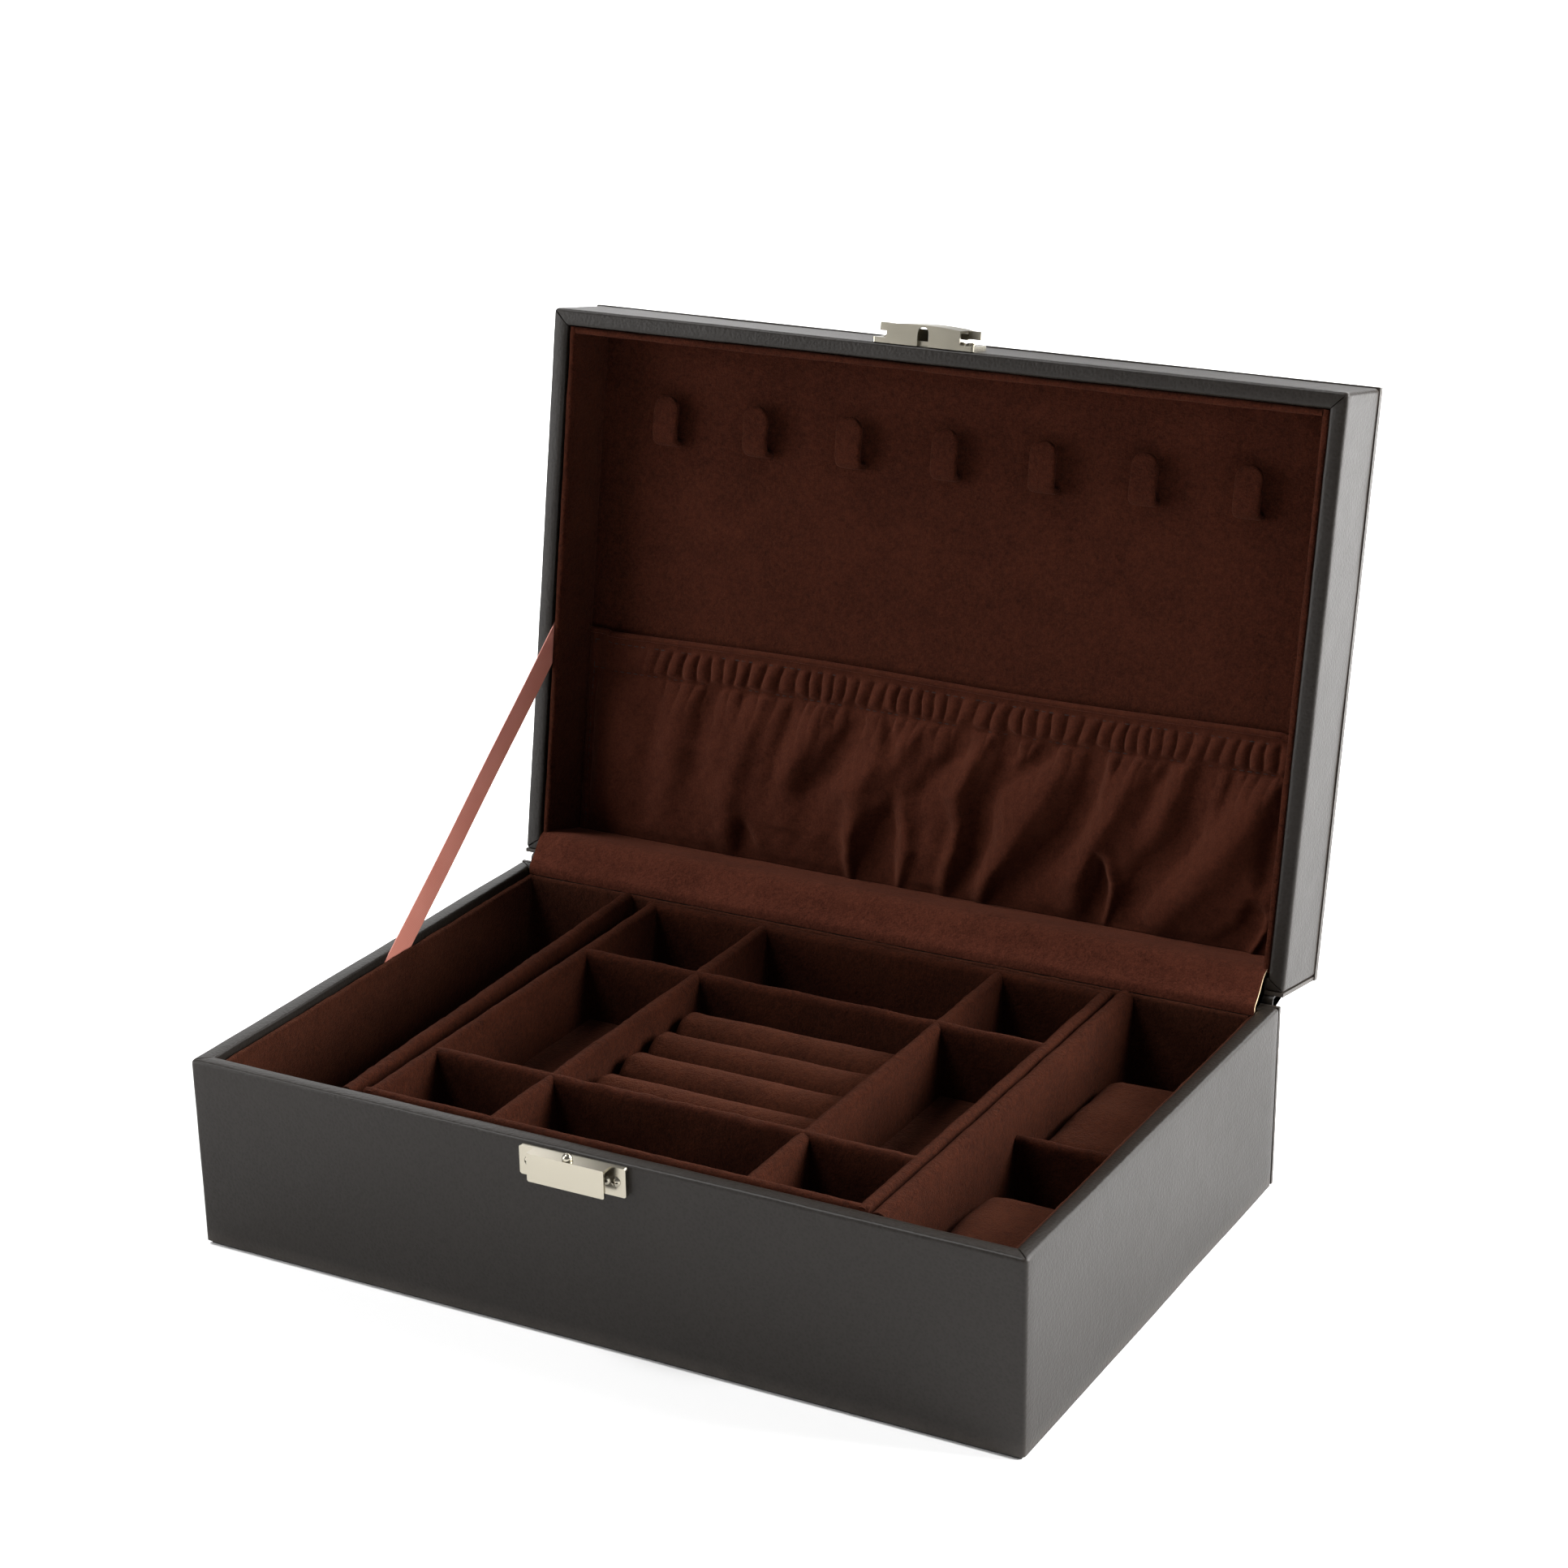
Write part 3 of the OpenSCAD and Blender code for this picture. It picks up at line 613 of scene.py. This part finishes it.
def hook(i, x):
    """A covered strip that leaves the ceiling, turns and runs towards the lid's front."""
    W, T = 10.0, 2.6
    path = [(-55.7, 94.2), (-55.6, 92.4), (-55.9, 90.6), (-56.9, 89.2), (-58.8, 88.6)]
    for y in np.linspace(-60.5, -73.2, 16):
        t = (-60.5 - y) / 12.7
        path.append((y, 88.55 - 0.25 * t + 0.55 * t * t))
    path = np.array(path)
    s = np.concatenate([[0], np.cumsum(np.linalg.norm(np.diff(path, axis=0), axis=1))])
    S = np.concatenate([np.linspace(0, s[-1] - 5, 22), s[-1] - 5 + 5 * np.sin(np.linspace(0, math.pi / 2, 9))[1:]])
    Q = np.stack([np.interp(S, s, path[:, k]) for k in (0, 1)], -1)
    tg = np.gradient(Q, axis=0)
    tg /= np.linalg.norm(tg, axis=1)[:, None]
    nr = np.stack([-tg[:, 1], tg[:, 0]], -1)
    rs = np.random.default_rng(140 + i)
    lean = rs.uniform(-0.35, 0.35)
    P = []
    nv = 28
    for q, n, ss in zip(Q, nr, S):
        d = s[-1] - ss
        f = 1.0 if d >= 5 else math.sqrt(max(1e-4, 1 - ((5 - d) / 5) ** 2))
        ft = 1.0 if d >= 2 else math.sqrt(max(1e-3, 1 - ((2 - d) / 2) ** 2))
        a = np.linspace(0, 2 * math.pi, nv, endpoint=False)
        c, si = np.cos(a), np.sin(a)
        e = 0.32
        px = W / 2 * f * np.sign(c) * np.abs(c) ** e
        pn = T / 2 * ft * np.sign(si) * np.abs(si) ** (e * 1.9)
        R = np.stack([x + lean * (ss / s[-1]) + px, q[0] + n[0] * pn, q[1] + n[1] * pn], -1)
        P.append(R)
    P = np.array(P)
    P[..., 0] += wob(P, 9, 0.10, 150 + i)
    P[..., 2] += wob(P, 7, 0.09, 160 + i)
    o = sweep(f"necklace_hook_suede_{i}", opened(P), [SUEDE_LID], sharp=0)
    soft(put(o, "lid", f"necklace_hook_{i}"))


for i, x in enumerate(HOOKS):
    hook(i + 1, x)

# ------------------------------------------------------------------ the gathered pocket
PX, PY0, PY1 = 143.2, 17.5, 95.0
# each fold: stations down the pocket (0 hem, 1 bottom seam) as (station, x, half width, height)
FOLDS = [
    # hollows
    ((0.10, -32, 1.5, 0), (0.16, -31, 2.2, -2.4), (0.25, -28, 3.5, -3.0), (0.37, -31.8, 5.5, -3.8), (0.51, -38.7, 7, -4.2), (0.62, -46, 7.5, -3.2), (0.72, -44, 6.5, -1.2), (0.84, -42, 5, 0)),
    ((0.78, -72, 2, 0), (0.88, -71.3, 3.2, -3.6), (0.96, -70, 3.8, -3.6), (1.0, -67, 4.4, -2)),
    ((0.50, -8, 3.0, 0), (0.64, -11, 4.4, -3.2), (0.76, -13.7, 6.4, -4.8), (0.94, -16.4, 7.6, -4.4), (1.0, -16, 8, -2.4)),
    ((0.10, 15.5, 1.3, 0), (0.16, 15.5, 2.0, -2.8), (0.24, 15, 3.4, -3.0), (0.32, 13.6, 5, -2.8), (0.39, 7, 6, -2.6), (0.54, 1, 6, -2.2), (0.75, 3, 5.5, -1.2), (0.95, 5, 5, 0)),
    ((0.10, 33, 1.4, 0), (0.16, 33, 2.0, -2.6), (0.27, 34, 3.6, -3.0), (0.40, 30, 5, -3.0), (0.53, 25.4, 5.6, -4.8), (0.68, 25.4, 5.2, -5.0), (0.82, 23.4, 4.6, -4.2), (0.95, 19, 4, -0.8), (1, 18, 4, 0)),
    ((0.10, 49, 1.4, 0), (0.17, 48.6, 2.4, -3.0), (0.27, 46, 4.6, -3.6), (0.35, 39, 6, -3.0), (0.46, 33, 5, 0)),
    ((0.08, 66.4, 1.2, 0), (0.16, 66.4, 2.6, -3.0), (0.32, 66.6, 5.2, -4.2), (0.46, 63.4, 6, -4.8), (0.57, 60, 6.2, -5.2), (0.67, 53.5, 6.6, -4.8), (0.80, 46.9, 7.2, -3.8), (0.93, 39, 8, -2.2), (1, 36, 8, -1)),
    ((0.64, 72.4, 1.8, 0), (0.71, 72.6, 3.0, -3.8), (0.78, 73.3, 3.6, -5.2), (0.84, 73.3, 3.8, -5.4), (0.94, 72.5, 4, -4), (1, 71, 5, -2)),
    ((0.10, 108, 1.3, 0), (0.2, 108.1, 3.6, -2.8), (0.34, 105.8, 6, -3.6), (0.5, 104.6, 8, -5.0), (0.61, 98.7, 8.6, -5.6), (0.72, 91.9, 8.6, -5.6), (0.86, 86.6, 8, -4), (0.97, 84, 8, -2)),
    ((0.14, 93.5, 1.6, 0), (0.24, 93.2, 3, -2.2), (0.37, 88.6, 4.5, -2.2), (0.51, 86, 5, -1.4), (0.7, 85, 5, 0)),
    ((0.16, 119, 2, 0), (0.24, 118.6, 2.8, -1.8), (0.34, 117, 3.4, -1.8), (0.48, 114, 4, 0)),
    ((0.26, 138, 3, 0), (0.4, 135.6, 4.2, -3.2), (0.56, 134.4, 5, -4.0), (0.66, 134.4, 4.4, -3), (0.76, 134, 3, 0)),
    ((0.74, 131, 3, 0), (0.82, 131.3, 5, -4), (0.87, 131.7, 5.6, -4.6), (0.93, 129, 7, -4), (1, 126, 8, -1.6)),
    ((0.1, -87, 2, -0.6), (0.24, -88.5, 4, -2.0), (0.35, -91, 5, -2.0), (0.51, -92.6, 6, -1.5), (0.8, -95, 7, -0.7), (1, -96, 7, 0)),
    ((0.16, -112, 3, -0.3), (0.3, -112, 6, -1.0), (0.6, -114, 7, -1.1), (0.9, -117, 7, -0.5)),
    ((0.1, -74, 1.5, -1.5), (0.2, -74.5, 2.5, -1.7), (0.3, -76, 3, 0)),
    ((0.12, -51, 2, -0.8), (0.3, -55, 4, -1.9), (0.5, -59, 5, -1.6), (0.72, -61, 5, -0.6), (0.9, -62, 5, 0)),
    ((0.12, -17, 1.6, -2.2), (0.25, -15, 2.8, -2.0), (0.36, -12, 4, -1.2), (0.46, -11, 4, 0)),
    # crests
    ((0.18, -17, 3, 0.6), (0.34, -16.5, 4, 1.5), (0.44, -18.9, 5, 2.2), (0.57, -24.2, 6.5, 3.0), (0.65, -22, 5.5, 3.2), (0.78, -24.6, 3.4, 3.2), (0.9, -25.6, 2.8, 2.4), (1, -25.4, 2.2, 1.5)),
    ((0.2, 1, 3, 0.6), (0.3, -5, 4.5, 2.0), (0.42, -11, 5, 1.8), (0.52, -15, 5, 0.4)),
    ((0.50, -7.0, 3.0, 0), (0.62, -5.6, 3.2, 1.0), (0.72, -3.4, 3.6, 1.6), (0.81, -2.4, 3.8, 2.0), (0.92, -4.8, 3.0, 2.2), (1.0, -6.4, 2.4, 1.6)),
    ((0.14, 29, 1.6, 0.6), (0.19, 26.9, 2.6, 1.6), (0.34, 21.3, 3.5, 2.5), (0.51, 16.5, 4, 2.6), (0.64, 18.5, 3.5, 2.6), (0.77, 16.9, 3.4, 2.6), (0.92, 13.3, 3, 2.2), (1, 12, 3, 1)),
    ((0.18, 57, 3.5, 0.6), (0.34, 53.7, 6.5, 2.6), (0.54, 44.9, 7.4, 3.2), (0.7, 38.8, 6, 3.2), (0.86, 31.4, 4, 3.2), (0.98, 27.5, 3, 2.2)),
    ((0.14, 86, 2, 0.6), (0.2, 84.6, 3, 1.8), (0.34, 80.9, 4.5, 2.6), (0.48, 76.2, 5, 3.2), (0.6, 72.0, 5, 3.2), (0.68, 69.4, 4.4, 2.4), (0.81, 65.5, 4.8, 2.6), (0.91, 63.5, 5, 1.5), (1, 62, 5, 0.5)),
    ((0.60, 75.2, 2.2, 0), (0.7, 77.0, 2.8, 1.8), (0.79, 79.0, 3.0, 2.6), (0.86, 78.0, 2.8, 2.8), (0.98, 75.8, 2.2, 2.2)),
    ((0.14, 102.5, 2, 0.6), (0.2, 101.1, 3, 1.6), (0.34, 99.1, 4, 2.2), (0.46, 95, 5, 1.6), (0.62, 91, 5, 0)),
    ((0.18, 138, 3, 0.6), (0.24, 133.9, 5, 2), (0.42, 125.4, 9, 3), (0.56, 119, 9.5, 3.4), (0.74, 110.2, 10, 3.2), (0.87, 101, 10, 2.4), (0.98, 95, 10, 1)),
    ((0.8, 137, 1.4, 0), (0.89, 135.6, 2, 2.8), (0.99, 131.8, 1.8, 2.6)),
    ((0.18, -66, 3, 0.6), (0.45, -72.3, 5, 1.8), (0.68, -76.6, 5, 2.0), (0.89, -78.6, 4.6, 1.8), (1, -78, 4, 0.8)),
    ((0.1, -96, 3, 0.4), (0.3, -99, 5, 1.0), (0.6, -103, 6, 0.9), (0.9, -105, 6, 0.3)),
    ((0.12, -39, 2, 0.6), (0.2, -40.5, 3.2, 1.6), (0.4, -47, 5, 1.8), (0.56, -54, 6, 1.4), (0.8, -54, 6, 0.6)),
    ((0.12, 74, 2, 0.5), (0.22, 73.6, 2.6, 1.4), (0.36, 72.6, 3, 1.0), (0.5, 71, 3, 0)),
    ((0.5, 3, 4, 0), (0.7, 8, 5, 1.0), (0.95, 6, 6, 0.6)),
]
PLEAT = np.random.default_rng(77).uniform(0.7, 1.25, 90)
SHIFT = np.random.default_rng(78).uniform(-0.9, 0.9, 90)
SEAM_W = 0.185


def pocket_depth(x, w):
    """How far the pocket stands off the ceiling, at x and at w from hem 0 to bottom 1."""
    d = np.interp(w, [0, 0.03, 0.05, 0.10, 0.15, 0.185, 0.22, 0.32, 0.5, 0.8, 0.95, 1], [2.7, 2.5, 2.3, 2.9, 2.7, 1.9, 2.9, 4.4, 5.4, 4.8, 2.6, 1.2])
    live = 0.05 + 0.95 * smooth((x + 122) / 14)
    # narrow puffed pleats between the hem and the second seam
    lean = x - 13.0 * (0.11 - w) + 0.5 * np.sin(w * 30 + x / 7.0)
    t = (lean + 150) / 5.5
    t = t + 0.2 * np.sin(lean / 6.7) + 0.3 * np.sin(lean / 17.3 + 1.1)
    k = np.clip(np.floor(t), 0, 88).astype(int)
    u = t - np.floor(t)
    hgt = PLEAT[k] * (1 - smooth(u)) + PLEAT[k + 1] * smooth(u)
    g = np.abs(np.sin(math.pi * u)) ** 0.75 * 1.9 * hgt - 1.05
    top = smooth((w - 0.035) / 0.03) * (1 - 0.75 * smooth((w - 0.155) / 0.03))
    tail = 0.62 * smooth((w - 0.19) / 0.02) * np.exp(-np.maximum(w - 0.2, 0) / (0.05 + 0.045 * PLEAT[(k * 7) % 89]))
    d = d + live * g * np.where(w < 0.19, top, tail)
    d = d - live * 0.55 * np.exp(-((w - SEAM_W) / 0.012) ** 2)
    for st in FOLDS:
        ws_, xc, hw, ht = (np.array(c, float) for c in zip(*st))
        c = np.interp(w, ws_, xc)
        h = np.interp(w, ws_, hw)
        a = np.interp(w, ws_, ht)
        a = np.where((w < ws_[0] - 0.05) | (w > ws_[-1] + 0.03), 0.0, a)
        a = a * smooth((w - ws_[0] + 0.05) / 0.05) * (1 - smooth((w - ws_[-1]) / 0.03))
        a = a * (0.25 + 0.75 * smooth((w - 0.15) / 0.07))
        side = (x - c) / h
        # the left flank of a hollow is the steeper one
        skew = np.where(side * np.sign(a) > 0, 1.18, 0.86)
        d = d + 1.12 * a * np.exp(-np.abs(side * skew) ** (1.9 if ht.min() < -0.1 else 2.1))
    side = smooth((PX - np.abs(x)) / 9.0)
    d = 0.95 + (d - 0.95) * side
    groove = np.exp(-((x + PX - 3.6) / 0.9) ** 2) * (w > 0.03)
    d = d + 1.0 * np.exp(-((x + PX - 1.7) / 1.3) ** 2) - 0.35 * groove
    d = np.where(d < 1.8, 1.8 - 1.0 * (1 - np.exp(-(1.8 - np.minimum(d, 1.8)) / 1.6)), d)
    return np.minimum(d, 10.5)


nx, ny = 760, 124
xs = np.linspace(-PX, PX, nx)
ws = np.concatenate([np.linspace(0, 0.26, 40), np.linspace(0.26, 1, ny - 40 + 1)[1:]])
Xg, Wg = np.meshgrid(xs, ws, indexing="ij")
Dg = pocket_depth(Xg, Wg)
drift = 0.9 * np.sin(Xg / 31.0) * (1 - Wg) * (np.abs(Xg) < 135)
Yg = PY0 + (PY1 - PY0) * Wg + drift * 0.7
front = np.stack([Xg, Yg, CEIL - Dg], -1)
front[..., 2] += wob(front, 7, 0.12, 211) + wob(front, 16, 0.3, 212) * np.clip(Wg * 4, 0, 1)
rear = front.copy()
rear[..., 2] += 0.75
V = np.concatenate([opened(front).reshape(-1, 3), opened(rear).reshape(-1, 3)])
F = []
N = nx * ny
for i in range(nx - 1):
    for j in range(ny - 1):
        a = i * ny + j
        F.append((a, a + 1, a + ny + 1, a + ny))
        F.append((N + a, N + a + ny, N + a + ny + 1, N + a + 1))
for i in range(nx - 1):
    for j in (0, ny - 1):
        a = i * ny + j
        F.append((a, a + ny, N + a + ny, N + a))
for j in range(ny - 1):
    for i in (0, nx - 1):
        a = i * ny + j
        F.append((a, a + 1, N + a + 1, N + a))
pocket = finish_mesh("pocket_gathered_suede", V, F, [SUEDE_POCKET], sharp=0)
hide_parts("elastic_pocket")
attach(pocket, "lid")


def tube(name, line, ry, rz, m, body, nv=12, wobble=0.1, seed=1, lid=True):
    line = np.asarray(line, float)
    tg = np.gradient(line, axis=0)
    tg /= np.linalg.norm(tg, axis=1)[:, None]
    up = np.array([0, 0, 1.0])
    P = []
    for p, t in zip(line, tg):
        b = np.cross(t, up)
        b /= np.linalg.norm(b)
        n = np.cross(b, t)
        a = np.linspace(0, 2 * math.pi, nv, endpoint=False)
        P.append(p + ry * np.cos(a)[:, None] * b + rz * np.sin(a)[:, None] * n)
    P = np.array(P)
    P[..., 2] += wob(P, 7, wobble, seed)
    if lid:
        P = opened(P)
    o = sweep(name, P, [m], sharp=0)
    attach(o, body)
    return o


hem_x = np.linspace(-PX, PX, 600)
hem_d = pocket_depth(hem_x, np.full_like(hem_x, 0.02))
hem_y = PY0 + 0.7 * 0.9 * np.sin(hem_x / 31.0) * (np.abs(hem_x) < 135)
hem = tube("pocket_hem_suede", np.stack([hem_x, hem_y + 0.3, CEIL - hem_d + 0.2], -1), 1.15, 1.05, SUEDE_POCKET, "lid", 14, 0.14, 221)

# stitches: two rows under the hem and one row down the left side
def stitches(name, pts_fn, ts, half, r, body):
    V, F = [], []
    for t in ts:
        a, b = pts_fn(t - half), pts_fn(t + half)
        d = (b - a) / np.linalg.norm(b - a)
        u = np.cross(d, [0, 0, 1.0])
        u /= np.linalg.norm(u)
        n = np.cross(u, d)
        base = len(V)
        ks = [(-1.0, 0.25), (-0.6, 1.0), (0.6, 1.0), (1.0, 0.25)]
        for k, f in ks:
            c = (a + b) / 2 + (b - a) / 2 * k
            for q in range(6):
                an = q * math.pi / 3
                V.append(c + r * f * (math.cos(an) * u + math.sin(an) * n))
        for k in range(3):
            for q in range(6):
                q2 = (q + 1) % 6
                F.append((base + k * 6 + q, base + k * 6 + q2, base + (k + 1) * 6 + q2, base + (k + 1) * 6 + q))
        F.append(tuple(base + q for q in range(6)))
        F.append(tuple(base + 18 + q for q in range(6)))
    o = finish_mesh(name, opened(np.array(V)), F, [THREAD], sharp=0)
    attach(o, body)
    return o


def on_pocket(x, w, lift=-0.12):
    d = float(pocket_depth(np.array([x]), np.array([w]))[0])
    y = PY0 + (PY1 - PY0) * w + 0.63 * math.sin(x / 31.0) * (1 - w) * (abs(x) < 135)
    return np.array([x, y, CEIL - d - lift])


st1 = stitches("pocket_stitches_hem", lambda t: on_pocket(t, 0.048), np.arange(-140, 140.5, 2.9), 0.95, 0.2, "lid")
st2 = stitches("pocket_stitches_lower", lambda t: on_pocket(t, SEAM_W), np.arange(-140, 140.5, 2.9), 0.95, 0.2, "lid")
st3 = stitches("pocket_stitches_side", lambda t: on_pocket(-PX + 2.4, (t - PY0) / (PY1 - PY0)), np.arange(22, 92, 2.9), 0.95, 0.2, "lid")

# ------------------------------------------------------------------ hinge flap
def resample(pts, n):
    pts = np.array(pts, float)
    # smooth the corner points a little (Chaikin), then space them evenly
    for _ in range(3):
        q = [pts[0]]
        for a, b in zip(pts[:-1], pts[1:]):
            q += [a * 0.75 + b * 0.25, a * 0.25 + b * 0.75]
        q.append(pts[-1])
        pts = np.array(q)
    s = np.concatenate([[0], np.cumsum(np.linalg.norm(np.diff(pts, axis=0), axis=1))])
    t = np.linspace(0, s[-1], n)
    return np.stack([np.interp(t, s, pts[:, k]) for k in range(2)], -1), s[-1]


def opy(y, z):
    p = opened([0, y, z])
    return (p[1], p[2])


flap_pts = [(95.75, 66.2), (95.7, 69.0), (96.9, 70.0), (99.6, 72.4), (102.0, 75.9), (104.6, 78.2), (108.0, 78.5), (113, 77.2), opy(95.3, 86), opy(95.5, 93.6)]
line, flap_len = resample(flap_pts, 60)
tg = np.gradient(line, axis=0)
tg /= np.linalg.norm(tg, axis=1)[:, None]
nr = np.stack([tg[:, 1], -tg[:, 0]], -1)           # away from the hinge
if nr[20] @ (np.array([90, 85]) - line[20]) < 0:
    nr = -nr
fx = np.concatenate([[-145.6, -145.3], np.linspace(-144.6, 144.6, 150), [145.3, 145.6]])
P = []
s_ = np.linspace(0, 1, len(line))
for x in fx:
    q = np.stack([np.full(len(line), x), line[:, 0], line[:, 1]], -1)
    n3 = np.stack([np.zeros(len(line)), nr[:, 0], nr[:, 1]], -1)
    lift = np.maximum(0, wob(q, 40, 0.28, 231) + wob(q, 9, 0.07, 232)) * np.sin(np.pi * s_) ** 0.8
    curl = 0.35 * np.exp(-((abs(x) - 145.6) / 3.0) ** 2) * np.sin(np.pi * s_)
    inner = q + n3 * (lift + curl)[:, None]
    outer = inner + n3 * 0.65
    P.append(np.concatenate([inner, outer[::-1]]))
P = np.array(P)
flap = sweep("hinge_flap_suede", P, [SUEDE_FLAP, CREAM], cap_mat=0, sharp=45)
me = flap.data
ix = [0] * len(me.polygons)
for p in me.polygons:
    if abs(p.center.x) > 0.1455:
        ix[p.index] = 1
me.polygons.foreach_set("material_index", ix)
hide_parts("hinge_flap")
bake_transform(flap)

# ------------------------------------------------------------------ stay ribbon
ra, rb = np.array([10.2, 66.5]), np.array(opy(22.5, 69.6))
rd = (rb - ra) / np.linalg.norm(rb - ra)
rn = np.array([-rd[1], rd[0]])
RL = np.linalg.norm(rb - ra)
us = np.linspace(-13, RL + 13, 90)
P = []
for u in us:
    free = math.sin(math.pi * min(1, max(0, u / RL)))
    vs = np.linspace(-1, 1, 13)
    cx = -146.42 + 0.16 * free * np.sin(u / 17.0) + 0.22 * free * (vs ** 2 - 0.4)
    c = ra + rd * u
    w = 5.02 - 0.1 * free
    yz = c + vs[:, None] * w * rn
    a = np.stack([cx, yz[:, 0], yz[:, 1]], -1)
    b = a.copy()
    b[:, 0] += 0.28
    P.append(np.concatenate([a, b[::-1]]))
rib = sweep("stay_ribbon_satin", np.array(P), [SATIN], sharp=40)
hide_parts("stay_ribbon")
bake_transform(rib)

# ------------------------------------------------------------------ spine fold
fold_pts = [(102.35, 57.2), (102.35, 66.5), (102.4, 68.6), (102.9, 70.1), opy(102.35, 69.3), opy(102.35, 71), opy(102.35, 80.3)]
line, fold_len = resample(fold_pts, 34)
tg = np.gradient(line, axis=0)
tg /= np.linalg.norm(tg, axis=1)[:, None]
nr = np.stack([-tg[:, 1], tg[:, 0]], -1)
P = []
for x in np.linspace(-149.4, 149.4, 90):
    q = np.stack([np.full(len(line), x), line[:, 0], line[:, 1]], -1)
    n3 = np.stack([np.zeros(len(line)), nr[:, 0], nr[:, 1]], -1)
    w = wob(q, 30, 0.06, 241)
    P.append(np.concatenate([q + n3 * (0.28 + w)[:, None], (q - n3 * (0.28 - w)[:, None])[::-1]]))
fold = sweep("spine_fold_leather", np.array(P), [LEATHER], sharp=45)
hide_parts("spine_fold")
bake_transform(fold)

# ------------------------------------------------------------------ stage
bpy.ops.mesh.primitive_plane_add(size=30, location=(0, 0, 0))
floor = bpy.context.object
floor.name = "floor"
m, nt, b = mat("pale_floor")
b.inputs["Base Color"].default_value = (0.92, 0.92, 0.92, 1)
b.inputs["Roughness"].default_value = 0.9
b.inputs["Specular IOR Level"].default_value = 0.1
floor.data.materials.append(m)

world = bpy.data.worlds.new("studio")
bpy.context.scene.world = world
world.use_nodes = True
bg = world.node_tree.nodes["Background"]
bg.inputs["Color"].default_value = (1, 1, 1, 1)
bg.inputs["Strength"].default_value = 0.20


def area(name, loc, target, size, power, sy=None):
    l = bpy.data.lights.new(name, "AREA")
    l.shape = "RECTANGLE"
    l.size, l.size_y = size, sy or size
    l.energy = power
    o = bpy.data.objects.new(name, l)
    bpy.context.scene.collection.objects.link(o)
    o.location = loc
    o.rotation_euler = (Vector(target) - Vector(loc)).to_track_quat("-Z", "Y").to_euler()
    return o


def sun(name, elevation, azimuth, strength, angle):
    l = bpy.data.lights.new(name, "SUN")
    l.energy = strength
    l.angle = math.radians(angle)
    o = bpy.data.objects.new(name, l)
    bpy.context.scene.collection.objects.link(o)
    e, a = math.radians(elevation), math.radians(azimuth)
    d = Vector((math.sin(a) * math.cos(e), -math.cos(a) * math.cos(e), math.sin(e)))
    o.rotation_euler = d.to_track_quat("Z", "Y").to_euler()
    return o


sun("soft_top_left", 63, -66, 2.5, 24)
area("key_left", (-1.26, -0.88, 0.50), (-0.05, 0.1, 0.16), 0.9, 18)
area("back_floor", (0.5, 2.2, 1.7), (0.4, 0.9, 0.0), 2.4, 110, 1.4)
area("right_back", (1.9, 1.0, 0.9), (0.45, 0.45, 0.0), 1.3, 165)
area("left_back", (-1.30, 1.60, 0.95), (-0.15, 0.0, 0.07), 1.2, 11)
bpy.context.scene.view_settings.view_transform = "Standard"

# ------------------------------------------------------------------ camera
R = [[0.8769698172032591, 0.4803433545759538, -0.01393561728815254],
     [0.17494371056971825, -0.34613824627075385, -0.9217282748189434],
     [-0.4475697016628594, 0.8058899280815751, -0.387585843356143]]
C = (0.5132883883238761, -0.8943215792510609, 0.5352125840795142)
cd = bpy.data.cameras.new("camera")
cam = bpy.data.objects.new("camera", cd)
bpy.context.scene.collection.objects.link(cam)
cd.sensor_width = 36
cd.lens = 4157.164806107934 / 1932 * 36
cd.shift_x, cd.shift_y = 0.0, 0.10
cd.clip_start, cd.clip_end = 0.01, 60
M = Matrix(((R[0][0], -R[1][0], -R[2][0], C[0]),
            (R[0][1], -R[1][1], -R[2][1], C[1]),
            (R[0][2], -R[1][2], -R[2][2], C[2]),
            (0, 0, 0, 1)))
cam.matrix_world = M
bpy.context.scene.camera = cam
